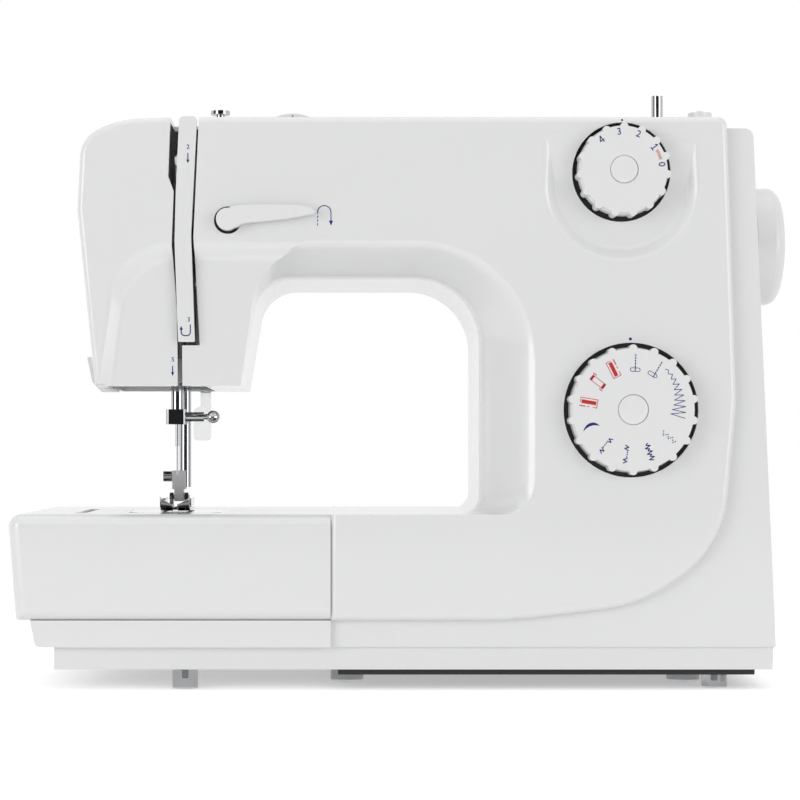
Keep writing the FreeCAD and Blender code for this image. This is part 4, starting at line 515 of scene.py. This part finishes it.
class Ink:
    """Printed marks drawn flat in X and Z on a face that looks to the front."""

    overlap = 0.6  # of half a stroke's width, past each end
    head_half = 0.42  # of an arrow head's length
    stroke_share = 0.14  # of a numeral's height, as are the next two
    font_size = 1.38
    font_swell = 0.008

    def __init__(self, name, face_y, material, body):
        self.name, self.face_y, self.material, self.body = name, face_y, material, body
        self.shape = bmesh.new()
        self.place((0.0, 0.0))

    def place(self, centre, turn=0.0):
        """Moves the pen's own origin; turn is clockwise in degrees."""
        self.centre = Vector(centre)
        self.turn = math.radians(turn)

    def at(self, u, v):
        c, s = math.cos(self.turn), math.sin(self.turn)
        return self.centre.x + u * c + v * s, self.centre.y - u * s + v * c

    def polygon(self, points):
        """A flat patch of ink with a thin body."""
        lift = detail_settings().ink_lift
        placed = [self.at(u, v) for u, v in points]
        front = [self.shape.verts.new((x, self.face_y - lift, z)) for x, z in placed]
        back = [self.shape.verts.new((x, self.face_y + lift, z)) for x, z in placed]
        self.shape.faces.new(front)
        self.shape.faces.new(list(reversed(back)))
        for i in range(len(front)):
            j = (i + 1) % len(front)
            self.shape.faces.new((front[j], front[i], back[i], back[j]))

    def line(self, *points, width=None):
        """A stroke of constant width through the points."""
        half = (width or detail_settings().sign_line) / 2
        for (u0, v0), (u1, v1) in zip(points, points[1:]):
            along = Vector((u1 - u0, v1 - v0))
            along.normalize()
            side = Vector((-along.y, along.x)) * half
            tip = along * half * self.overlap
            self.polygon([
                (u0 - tip.x - side.x, v0 - tip.y - side.y), (u1 + tip.x - side.x, v1 + tip.y - side.y),
                (u1 + tip.x + side.x, v1 + tip.y + side.y), (u0 - tip.x + side.x, v0 - tip.y + side.y)])

    def dashes(self, start, end, count, share, width=None):
        """A broken straight stroke."""
        start, end = Vector(start), Vector(end)
        for step in range(count):
            first = start.lerp(end, step / count)
            last = start.lerp(end, (step + share) / count)
            self.line(tuple(first), tuple(last), width=width)

    def arc(self, middle, radius, start, end, steps, width=None):
        """A curved stroke between two clockwise angles in degrees."""
        turns = [math.radians(start + (end - start) * step / steps) for step in range(steps + 1)]
        points = [(middle[0] + radius * math.sin(a), middle[1] + radius * math.cos(a)) for a in turns]
        self.line(*points, width=width)

    def dot(self, middle, radius, steps=20):
        turns = [2 * math.pi * step / steps for step in range(steps)]
        self.polygon([(middle[0] + radius * math.cos(a), middle[1] + radius * math.sin(a)) for a in turns])

    def arrow_head(self, tip, length, turn=180.0):
        """A solid arrow head whose point looks along the clockwise angle."""
        a = math.radians(turn)
        along, side = Vector((math.sin(a), math.cos(a))), Vector((math.cos(a), -math.sin(a)))
        foot, wing = Vector(tip) - along * length, side * length * self.head_half
        self.polygon([tuple(tip), tuple(foot - wing), tuple(foot + wing)])

    def numeral(self, text, middle, height):
        """A plain numeral, centred on a point."""
        if text in STROKE_NUMERALS:
            half, (u, v) = height / 2, middle
            for stroke in STROKE_NUMERALS[text]:
                points = [(u + half * a, v + half * b) for a, b in stroke]
                self.line(*points, width=height * self.stroke_share)
            return
        curve = bpy.data.curves.new(self.name, "FONT")
        curve.body = text
        curve.align_x = "CENTER"
        curve.align_y = "CENTER"
        curve.size = height * self.font_size
        curve.extrude = detail_settings().ink_lift
        curve.offset = height * self.font_swell
        item = bpy.data.objects.new(self.name, curve)
        bpy.context.scene.collection.objects.link(item)
        bpy.context.view_layer.update()
        mesh = bpy.data.meshes.new_from_object(item.evaluated_get(bpy.context.evaluated_depsgraph_get()))
        for vertex in mesh.vertices:
            x, z = self.at(middle[0] + vertex.co.x, middle[1] + vertex.co.y)
            vertex.co = (x, self.face_y - vertex.co.z, z)
        self.shape.from_mesh(mesh)
        bpy.data.objects.remove(item)
        bpy.data.curves.remove(curve)
        bpy.data.meshes.remove(mesh)

    def drape(self, node):
        """Lays the marks drawn so far on a surface that isn't flat."""
        for vertex in self.shape.verts:
            vertex.co.y += surface_y(node, vertex.co.x, vertex.co.z) - self.face_y

    def done(self):
        """Turns the drawn marks into a piece of the machine."""
        bmesh.ops.recalc_face_normals(self.shape, faces=self.shape.faces)
        add_piece(self.name, mesh_from(self.shape, self.name), self.material, self.body)


# Stitch signs, drawn about the pen's origin with their top away from the dial's middle


def bar_sign(ink, side):
    """A buttonhole's long side: a filled bar with a thin bracket round it."""
    near, far = -2.1 * side, 1.8 * side
    ink.line(*mm((0.0, -3.0), (0.0, 3.0)), width=1.8 * MM)
    ink.line(*mm((near, -2.2), (near, -4.1), (far, -4.1), (far, 4.1), (-0.4 * side, 4.1)), width=FRAME_LINE)
    ink.line(*mm((near, 1.6), (near, 4.1)))
    ink.line(*mm((near, -0.6), (near, 0.6)), width=FRAME_LINE)


def end_sign(ink):
    """A buttonhole's two ends: a thin frame with both ends filled."""
    ink.line(*mm((-1.25, -3.8), (1.25, -3.8), (1.25, 3.8), (-1.25, 3.8), (-1.25, -3.8)), width=FRAME_LINE)
    for end in (-1, 1):
        ink.polygon(mm((-1.25, 2.7 * end), (1.25, 2.7 * end), (1.25, 3.9 * end), (-1.25, 3.9 * end)))
        ink.line(*mm((2.1 * end, 2.6 * end), (2.1 * end, 4.2 * end)), width=SHORT_LINE)


def straight_sign(ink, offset):
    """A straight stitch: a broken line above the slot of the needle plate."""
    half, thick, low = 1.5, 0.85, -2.4
    ink.dashes(*mm((0.0, -1.2), (0.0, 5.6)), 5, share=0.5)
    for end in (-1, 1):
        ink.arc(*mm((offset + half * end, low)), thick * MM, 0.0, 180.0 * end, 8, width=DENSE_LINE)
        edge = low + thick * end
        ink.line(*mm((offset - half, edge), (offset + half, edge)), width=DENSE_LINE)
    ink.line(*mm((0.0, -3.1), (0.0, -1.7)), width=SLOT_LINE)


def hem_sign(ink, flip):
    """A blind hem: a broken line between two small points."""
    ink.dashes(*mm((0.0, 1.5), (0.0, -2.0)), 3, share=0.42)
    for end in (-1, 1):
        points = ((-0.3, 1.9), (1.5, 2.7), (-0.3, 3.4), (1.3, 4.3))
        ink.line(*mm(*[(u * flip, v * end) for u, v in points]))


def wave_sign(ink):
    """A dense stitch with short and long points."""
    points = []
    for step in range(13):
        reach = 1.35 if step % 4 in (1, 2) else 0.5
        points.append((reach if step % 2 else -reach, 4.2 - 8.4 * step / 12))
    ink.line(*mm(*points))


def dotted_sign(ink):
    """A zigzag made of single stitches."""
    points = mm((-3.0, 2.7), (-3.3, 0.5), (-0.9, 1.0), (-0.9, -1.2), (1.3, -0.4), (1.3, -3.0), (3.5, -2.1))
    for start, end in zip(points, points[1:]):
        ink.dashes(start, end, 2, share=0.3, width=SHORT_LINE)


def moon_sign(ink):
    """A filled crescent, the sign of a scallop."""
    outer = mm((-4.0, -2.4), (-3.4, -0.7), (-2.3, 0.8), (-0.7, 1.75), (1.0, 2.0), (2.6, 1.5), (4.0, 0.4))
    inner = mm((2.5, 0.65), (0.7, 0.65), (-1.2, 0.0), (-2.8, -1.1))
    ink.polygon(outer + inner)


# Operators


class MACHINE_OT_casing(bpy.types.Operator):
    """Finish the white casing and the extension table"""

    bl_idname = "machine.casing"
    bl_label = "Casing"

    def execute(self, context):
        white = finishes()["casing"]
        for node in ("front_cover", "rear_cover", "face_cover", "extension_table", "free_arm_cover"):
            dress(node, white, detail_settings().casing_edge)
        for node in ("thread_guide_strip", "bobbin_door", "thread_cutter"):
            dress(node, white, detail_settings().fitting_edge)
        self.paint_slot_shade()
        return {"FINISHED"}

    def paint_slot_shade(self):
        """Paints shade on the part of the thread guide strip that sits inside the casing: the black finish
        stands for the shadow in the thread slot.
        """
        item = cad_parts["thread_guide_strip"]
        # Painted shade: the strip's faces inside the slot take the black finish in place of the slot's
        # shadow
        item.data.materials.append(finishes()["black"])
        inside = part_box("thread_guide_strip")[0].y + 2.0 * MM
        for face in item.data.polygons:
            if face.center.y > inside:
                face.material_index = 1


class MACHINE_OT_controls(bpy.types.Operator):
    """Finish the dials, the reverse lever, the wheels and the switch, and add the dial caps"""

    bl_idname = "machine.controls"
    bl_label = "Controls"

    def execute(self, context):
        looks = finishes()
        for node, edge in CONTROL_EDGES.items():
            dress(node, looks["dial"], edge)
        dress("presser_lever", looks["tab"], detail_settings().cast_edge)
        for node in ("dial_seats", "reverse_lever_bush", "power_inlet", "power_switch", "base_plate"):
            dress(node, looks["black"], detail_settings().fitting_edge)
        self.cap("length_dial", 6.55 * MM, looks["dial"])
        self.cap("pattern_dial", 7.15 * MM, looks["dial"])
        self.skirt("length_dial", 8.0 * MM, looks["dial"])
        self.skirt("pattern_dial", 9.0 * MM, looks["dial"])
        return {"FINISHED"}

    def cap(self, dial, rim, white):
        """The small round cap in the middle of a dial."""
        middle, front, _ = face_of(dial)
        lathe(f"{dial}_cap", [
            (0.0, 0.0), (rim * 0.6, 0.05 * MM), (rim - 0.7 * MM, 0.20 * MM), (rim - 0.2 * MM, 0.40 * MM),
            (rim, 0.70 * MM), (rim, 1.15 * MM), (0.0, 1.15 * MM),
        ], (middle.x, front, middle.y), (0, 1, 0), white, dial)

    def skirt(self, dial, back, white):
        """The smooth cone between the grips of a dial."""
        middle, front, tip = face_of(dial)
        inner = tip - 2.6 * MM
        lathe(f"{dial}_skirt", [
            (inner, 1.6 * MM), (tip - 1.9 * MM, 1.8 * MM), (tip - 1.2 * MM, 4.0 * MM),
            (tip - 0.5 * MM, back), (inner, back), (inner, 1.6 * MM),
        ], (middle.x, front, middle.y), (0, 1, 0), white, dial, 128)


class MACHINE_OT_fittings(bpy.types.Operator):
    """Finish the needle, the presser, the guides and the feet"""

    bl_idname = "machine.fittings"
    bl_label = "Needle and presser"

    def execute(self, context):
        looks, sizes = finishes(), detail_settings()
        for node in ("needle_plate", "take_up_lever", "bobbin", "needle", "needle_bar", "presser_bar",
                     "winder_spindle"):
            dress(node, looks["chrome"], sizes.fitting_edge)
        for node in ("needle_clamp", "presser_foot", "foot_screw", "upper_thread_guide"):
            dress(node, looks["chrome"], sizes.plated_edge)
        dress("foot_ankle", looks["satin"], sizes.plated_edge)
        self.toe("left_toe", -1, looks["chrome"])
        self.toe("right_toe", 1, looks["chrome"])
        self.thumb_face(looks["chrome"])
        for node in ("feed_dog", "needle_plate_screws", "cover_screws", "tension_post", "hook"):
            dress(node, looks["steel"], sizes.steel_edge)
        for node in ("base_feet", "table_feet"):
            dress(node, looks["foot"], sizes.foot_edge)
        self.foot_screw("table_front", "table_feet", -1, "extension_table", looks["black"])
        self.foot_screw("table_rear", "table_feet", 1, "extension_table", looks["black"])
        self.foot_screw("base_front", "base_feet", -1, "machine", looks["black"])
        self.foot_screw("base_rear", "base_feet", 1, "machine", looks["black"])
        return {"FINISHED"}

    def toe(self, name, side, chrome):
        """The upturned tip of one toe of the presser foot, high outside and low at the split."""
        low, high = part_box("presser_foot")
        middle, half = (low.x + high.x) / 2, (high.x - low.x) / 2
        across, up = 8, 6
        thickness, curl, split = 0.8 * MM, 1.2 * MM, 1.3 * MM
        root_y, root_z = low.y + 1.3 * MM, low.z + 1.6 * MM
        shape = bmesh.new()
        rims = []
        for depth in (0.0, thickness):
            sheet = []
            for step in range(across + 1):
                inward = step / across
                x = middle + side * (half - inward * (half - split))
                rise = (5.6 - 4.0 * inward ** 0.7) * MM
                column = []
                for level in range(up + 1):
                    share = level / up
                    y = root_y - curl * math.sin(share * math.pi / 2) + depth
                    column.append(shape.verts.new((x, y, root_z + rise * share)))
                sheet.append(column)
            for near, far in zip(sheet, sheet[1:]):
                for level in range(up):
                    corners = (near[level], far[level], far[level + 1], near[level + 1])
                    shape.faces.new(corners).smooth = True
            top = [column[-1] for column in sheet[1:]]
            bottom = [column[0] for column in sheet[-2:0:-1]]
            rims.append(sheet[0] + top + sheet[-1][-2::-1] + bottom)
        front, back = rims
        for index in range(len(front)):
            after = (index + 1) % len(front)
            shape.faces.new((front[index], front[after], back[after], back[index]))
        bmesh.ops.recalc_face_normals(shape, faces=shape.faces)
        add_piece(f"foot_{name}", mesh_from(shape, name), chrome, "presser_foot")

    def thumb_face(self, chrome):
        """The dished face of the needle clamp's thumb screw."""
        low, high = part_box("needle_clamp")
        reach, forward = 3.2 * MM, 1.5 * MM
        centre = (high.x - reach, (low.y + high.y) / 2 - forward, (low.z + high.z) / 2)
        lathe("thumb_screw_face", mm(
            (0.0, -0.15), (1.1, -0.30), (1.9, -0.85), (2.4, -0.95), (2.9, -0.60), (3.1, 0.10), (0.0, 0.10),
        ), centre, (0, 1, 0), chrome, "needle_bar", 48)

    def foot_screw(self, name, feet, side, body, black):
        """The dark screw that holds a clear foot, seen through it."""
        low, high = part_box(feet)
        reach, shank, tip = 6.3 * MM, 1.1 * MM, 0.8 * MM
        y = low.y + reach if side < 0 else high.y - reach
        top = high.z - 0.05 * MM
        lathe(f"{name}_foot_screw", [
            (0.0, top), (shank, top), (shank, top * 0.55), (tip, top * 0.50), (0.0, top * 0.50),
        ], (high.x - reach, y, 0.0), (0, 0, 1), black, body, 32)


class MACHINE_OT_inside(bpy.types.Operator):
    """Finish the frame, the shafts, the belts, the motor and the lamp"""

    bl_idname = "machine.inside"
    bl_label = "Inside"

    def execute(self, context):
        looks, sizes = finishes(), detail_settings()
        for node in ("main_frame", "bar_guide", "motor_housing"):
            dress(node, looks["cast"], sizes.cast_edge)
        for node in ("upper_shaft", "crank_disc", "connecting_rod", "motor_rotor", "lower_shaft"):
            dress(node, looks["steel"], sizes.fitting_edge)
        for node in ("drive_pulley", "upper_timing_pulley", "bobbin_case", "winder_carriage",
                     "spool_pin_sleeves", "lamp_holder"):
            dress(node, looks["grey"], sizes.fitting_edge)
        for node in ("motor_belt", "timing_belt"):
            dress(node, looks["rubber"])
        dress("shaft_bushes", looks["bronze"])
        dress("lamp_bulb", looks["glass"])
        return {"FINISHED"}


class MACHINE_OT_length_marks(bpy.types.Operator):
    """Print the numerals on the stitch length dial"""

    bl_idname = "machine.length_marks"
    bl_label = "Stitch length marks"

    def execute(self, context):
        centre, front, radius = face_of("length_dial")
        ink = Ink("length_numerals", front, finishes()["blue"], "length_dial")
        for text, turn in (("4", -38.0), ("3", -8.0), ("2", 22.0), ("1", 54.0), ("0", 83.0)):
            ink.place(centre, turn)
            ink.numeral(text, (0.0, radius * NUMERAL_RING), detail_settings().numeral_height)
        ink.done()
        red = Ink("length_dense_sign", front, finishes()["red"], "length_dial")
        for step in range(8):
            red.place(centre, 60.5 + 2.0 * step)
            red.line(*[(0.0, radius * share) for share in DENSE_RING], width=DENSE_LINE)
        red.done()
        return {"FINISHED"}


class MACHINE_OT_pattern_marks(bpy.types.Operator):
    """Print plain stitch signs round the pattern dial"""

    bl_idname = "machine.pattern_marks"
    bl_label = "Stitch pattern marks"

    def execute(self, context):
        looks = finishes()
        centre, front, radius = face_of("pattern_dial")

        def move(ink, turn, upright=False):
            """Takes the pen to a clockwise angle on the ring of signs."""
            a = math.radians(turn)
            outward = Vector((math.sin(a), math.cos(a)))
            ink.place(centre + outward * radius * SIGN_RING, 0.0 if upright else turn)

        blue = Ink("pattern_signs_blue", front, looks["blue"], "pattern_dial")
        for turn, offset in ((2.5, 0.0), (31.0, -0.9)):
            move(blue, turn)
            straight_sign(blue, offset)
        self.widening_zigzag(blue, centre, radius)
        move(blue, 126.0, upright=True)
        dotted_sign(blue)
        move(blue, 159.0)
        wave_sign(blue)
        for turn, flip in ((188.0, 1), (219.0, -1)):
            move(blue, turn)
            hem_sign(blue, flip)
        move(blue, 248.0, upright=True)
        moon_sign(blue)
        blue.done()
        red = Ink("pattern_signs_red", front, looks["red"], "pattern_dial")
        move(red, 279.5)
        bar_sign(red, 1)
        move(red, 308.0)
        end_sign(red)
        move(red, 333.5)
        bar_sign(red, -1)
        red.done()
        return {"FINISHED"}

    def widening_zigzag(self, ink, centre, radius):
        """A zigzag round the rim that grows from narrow to wide."""
        ink.place(centre)
        points = []
        for step in range(20):
            share = step / 19
            turn = math.radians(38.0 + 61.5 * share)
            half = (0.3 + 3.4 * share) * MM
            reach = radius * (0.81 - 0.12 * share) + (half if step % 2 else -half)
            points.append((math.sin(turn) * reach, math.cos(turn) * reach))
        ink.line(*points, width=ZIGZAG_LINE)


class MACHINE_OT_panel_marks(bpy.types.Operator):
    """Print the index dots, the threading arrows and the reverse sign on the covers"""

    bl_idname = "machine.panel_marks"
    bl_label = "Panel marks"

    def execute(self, context):
        blue = finishes()["blue"]
        self.length_index(blue)
        self.panel_signs(blue)
        self.strip_signs(blue)
        face = Ink("face_signs", surface_y("face_cover", *FACE_SIGN), blue, "machine")
        self.down_sign(face, "5", FACE_SIGN)
        face.done()
        self.tension_numerals(blue)
        return {"FINISHED"}

    def length_index(self, blue):
        """The dot over the length dial, on the rounded top edge of the front cover."""
        low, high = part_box("front_cover")
        ink = Ink("length_index", low.y, blue, "machine")
        ink.dot((middle_of("length_dial").x, high.z - 1.8 * MM), 0.55 * MM)
        ink.drape("front_cover")
        ink.done()

    def panel_signs(self, blue):
        """The dot over the pattern dial and the turned arrow beside the reverse lever."""
        ink = Ink("panel_signs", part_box("front_cover")[0].y, blue, "machine")
        dial, above = middle_of("pattern_dial"), 34.2 * MM
        ink.dot((dial.x - 0.3 * MM, dial.z + above), 0.75 * MM)
        ink.place(REVERSE_SIGN)
        bend = 3.2
        ink.dashes(*mm((-bend, -6.0), (-bend, -0.6)), 3, share=0.45, width=REVERSE_LINE)
        ink.line(*mm((-bend, -0.4), (-bend, 0.2)), width=REVERSE_LINE)
        ink.arc(*mm((0.0, 0.2)), bend * MM, -90.0, 90.0, 14, width=REVERSE_LINE)
        ink.line(*mm((bend, 0.2), (bend, -4.0)), width=REVERSE_LINE)
        ink.arrow_head(*mm((bend, -6.2)), 2.4 * MM)
        ink.done()

    def strip_signs(self, blue):
        """The two threading signs on the strip between the thread slots."""
        ink = Ink("strip_signs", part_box("thread_guide_strip")[0].y, blue, "machine")
        self.down_sign(ink, "2", UPPER_STRIP_SIGN)
        ink.place(LOWER_STRIP_SIGN)
        ink.numeral("3", *mm((1.3, 4.3)), 2.2 * MM)
        bend, low = 1.7, -1.7
        ink.line(*mm((2.1, 1.8), (2.1, low)))
        ink.arc(*mm((0.4, low)), bend * MM, 90.0, 180.0, 6)
        ink.line(*mm((0.4, low - bend), (-0.6, low - bend)))
        ink.arc(*mm((-0.6, low)), bend * MM, 180.0, 270.0, 6)
        ink.line(*mm((-2.3, low), (-2.3, -0.4)))
        ink.arrow_head(*mm((-2.3, 1.3)), 1.9 * MM, 0.0)
        ink.done()

    def tension_numerals(self, blue):
        """The numerals round the front face of the tension wheel, with the middle one on top."""
        low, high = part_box("tension_wheel")
        radius = (high.x - low.x) / 2
        ink = Ink("tension_numerals", low.y, blue, "tension_wheel")
        for text, turn in (("2", 44.0), ("3", 22.0), ("4", 0.0), ("5", -22.0), ("6", -44.0)):
            ink.place(((low.x + high.x) / 2, high.z - radius), turn)
            ink.numeral(text, (0.0, radius - 1.7 * MM), 1.5 * MM)
        ink.done()

    def down_sign(self, ink, text, middle):
        """A numeral over an arrow that points down."""
        ink.place(middle)
        ink.numeral(text, *mm((0.1, 3.9)), 2.2 * MM)
        ink.line(*mm((0.0, 0.8), (0.0, -2.6)))
        ink.arrow_head(*mm((0.0, -4.0)), 1.8 * MM)


class MACHINE_OT_stage(bpy.types.Operator):
    """Set up the floor, the lamps, the surrounding light and the camera"""

    bl_idname = "machine.stage"
    bl_label = "Studio"

    def execute(self, context):
        settings = stage_settings()
        self.floor(settings.floor_glow)
        for name, place, target, size, power in LAMPS:
            self.lamp(name, place, target, size, getattr(settings, power))
        for name, place, size in CARDS:
            self.card(name, place, size)
        self.sky(settings.sky_level)
        self.camera(settings)
        context.scene.view_settings.view_transform = "Standard"
        return {"FINISHED"}

    def seen_directly(self, nodes, links):
        """One for rays that show the background: camera, glossy and transmission rays."""
        path = nodes.new("ShaderNodeLightPath")
        either, any_of = nodes.new("ShaderNodeMath"), nodes.new("ShaderNodeMath")
        either.operation = any_of.operation = "MAXIMUM"
        links.new(path.outputs["Is Camera Ray"], either.inputs[0])
        links.new(path.outputs["Is Glossy Ray"], either.inputs[1])
        links.new(either.outputs[0], any_of.inputs[0])
        links.new(path.outputs["Is Transmission Ray"], any_of.inputs[1])
        return any_of.outputs[0]

    def far_mask(self, nodes, links):
        """Zero on the floor round the machine, and one farther out."""
        place, away = nodes.new("ShaderNodeTexCoord"), nodes.new("ShaderNodeVectorMath")
        away.operation = "LENGTH"
        far = nodes.new("ShaderNodeMapRange")
        far.interpolation_type = "SMOOTHSTEP"
        far.inputs["From Min"].default_value = 0.28
        far.inputs["From Max"].default_value = 0.60
        links.new(place.outputs["Object"], away.inputs[0])
        links.new(away.outputs["Value"], far.inputs["Value"])
        return far.outputs[0]

    def floor(self, level):
        """A pale floor that keeps the shadow and turns into the white background farther out."""
        shape = bmesh.new()
        bmesh.ops.create_grid(shape, x_segments=1, y_segments=1, size=6.0)
        item = bpy.data.objects.new("Floor", mesh_from(shape, "Floor"))
        bpy.context.scene.collection.objects.link(item)
        made, nodes, links, shader = new_material("Pale floor")
        shader.inputs["Base Color"].default_value = (0.97, 0.97, 0.97, 1.0)
        shader.inputs["Roughness"].default_value = 0.9
        glow, white = nodes.new("ShaderNodeEmission"), nodes.new("ShaderNodeEmission")
        glow.inputs["Strength"].default_value = level
        white.inputs["Strength"].default_value = 1.0
        lit = nodes.new("ShaderNodeAddShader")
        links.new(shader.outputs[0], lit.inputs[0])
        links.new(glow.outputs[0], lit.inputs[1])
        wide, seen = nodes.new("ShaderNodeMixShader"), nodes.new("ShaderNodeMixShader")
        links.new(self.far_mask(nodes, links), wide.inputs[0])
        links.new(lit.outputs[0], wide.inputs[1])
        links.new(white.outputs[0], wide.inputs[2])
        links.new(self.seen_directly(nodes, links), seen.inputs[0])
        links.new(shader.outputs[0], seen.inputs[1])
        links.new(wide.outputs[0], seen.inputs[2])
        links.new(seen.outputs[0], nodes["Material Output"].inputs["Surface"])
        item.data.materials.append(made)

    def card(self, name, place, size):
        """A dark card beside the camera that gives the plated parts their dark lines."""
        shape = bmesh.new()
        bmesh.ops.create_grid(shape, x_segments=1, y_segments=1, size=0.5)
        item = bpy.data.objects.new(name, mesh_from(shape, name))
        bpy.context.scene.collection.objects.link(item)
        item.location = place
        item.scale = (*size, 1.0)
        item.rotation_euler = (middle_of("needle_clamp") - Vector(place)).to_track_quat("Z", "Y").to_euler()
        item.data.materials.append(plastic("Dark card", (0.01, 0.01, 0.01), (0.8, 0.9)))
        item.visible_camera = item.visible_diffuse = item.visible_shadow = False

    def lamp(self, name, place, target, size, power):
        """A square soft lamp that looks at a target."""
        light = bpy.data.lights.new(name, "AREA")
        light.shape = "SQUARE"
        light.size = size
        light.energy = power
        item = bpy.data.objects.new(name, light)
        bpy.context.scene.collection.objects.link(item)
        item.location = place
        item.rotation_euler = (Vector(target) - Vector(place)).to_track_quat("-Z", "Y").to_euler()

    def sky(self, level):
        """Even light from all round, and plain white where the background is seen."""
        world = bpy.data.worlds.new("Studio")
        world.use_nodes = True
        nodes, links = world.node_tree.nodes, world.node_tree.links
        plain, white = nodes["Background"], nodes.new("ShaderNodeBackground")
        for background, strength in ((plain, level), (white, 1.0)):
            background.inputs["Color"].default_value = (1.0, 1.0, 1.0, 1.0)
            background.inputs["Strength"].default_value = strength
        mix = nodes.new("ShaderNodeMixShader")
        links.new(self.seen_directly(nodes, links), mix.inputs[0])
        links.new(plain.outputs[0], mix.inputs[1])
        links.new(white.outputs[0], mix.inputs[2])
        links.new(mix.outputs[0], nodes["World Output"].inputs["Surface"])
        bpy.context.scene.world = world

    def camera(self, settings):
        """A camera square to the front panel, with the picture shifted to frame the machine."""
        data = bpy.data.cameras.new("Camera")
        data.sensor_width = 36.0
        data.lens = data.sensor_width * settings.camera_distance / settings.view_width
        data.shift_x, data.shift_y = settings.camera_shift
        item = bpy.data.objects.new("Camera", data)
        bpy.context.scene.collection.objects.link(item)
        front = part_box("front_cover")[0].y
        item.location = (settings.camera_side, front - settings.camera_distance, settings.camera_height)
        item.rotation_euler = (math.radians(90.0), 0.0, 0.0)
        bpy.context.scene.camera = item


OPERATORS = (
    MACHINE_OT_casing,
    MACHINE_OT_controls,
    MACHINE_OT_fittings,
    MACHINE_OT_inside,
    MACHINE_OT_length_marks,
    MACHINE_OT_pattern_marks,
    MACHINE_OT_panel_marks,
    MACHINE_OT_stage,
)


class MACHINE_PT_finish(bpy.types.Panel):
    """Lists the steps of the finish"""

    bl_idname = "MACHINE_PT_finish"
    bl_label = "Sewing machine"
    bl_space_type = "VIEW_3D"
    bl_region_type = "UI"
    bl_category = "Sewing machine"

    def draw(self, context):
        for operator in OPERATORS:
            self.layout.operator(operator.bl_idname)
        for settings in (finish_settings(), detail_settings(), stage_settings()):
            box = self.layout.box()
            for name in settings.__annotations__:
                box.prop(settings, name)


CLASSES = (FinishSettings, DetailSettings, StageSettings, *OPERATORS, MACHINE_PT_finish)


def register():
    for item in CLASSES:
        bpy.utils.register_class(item)
    bpy.types.Scene.machine_finish = bpy.props.PointerProperty(type=FinishSettings)
    bpy.types.Scene.machine_detail = bpy.props.PointerProperty(type=DetailSettings)
    bpy.types.Scene.machine_stage = bpy.props.PointerProperty(type=StageSettings)


def unregister():
    del bpy.types.Scene.machine_stage
    del bpy.types.Scene.machine_detail
    del bpy.types.Scene.machine_finish
    for item in reversed(CLASSES):
        bpy.utils.unregister_class(item)


def main():
    """Registers the add-on and builds every piece in order."""
    register()
    bpy.ops.machine.casing()
    bpy.ops.machine.controls()
    bpy.ops.machine.fittings()
    bpy.ops.machine.inside()
    bpy.ops.machine.length_marks()
    bpy.ops.machine.pattern_marks()
    bpy.ops.machine.panel_marks()
    bpy.ops.machine.stage()


if __name__ == "__main__":
    main()
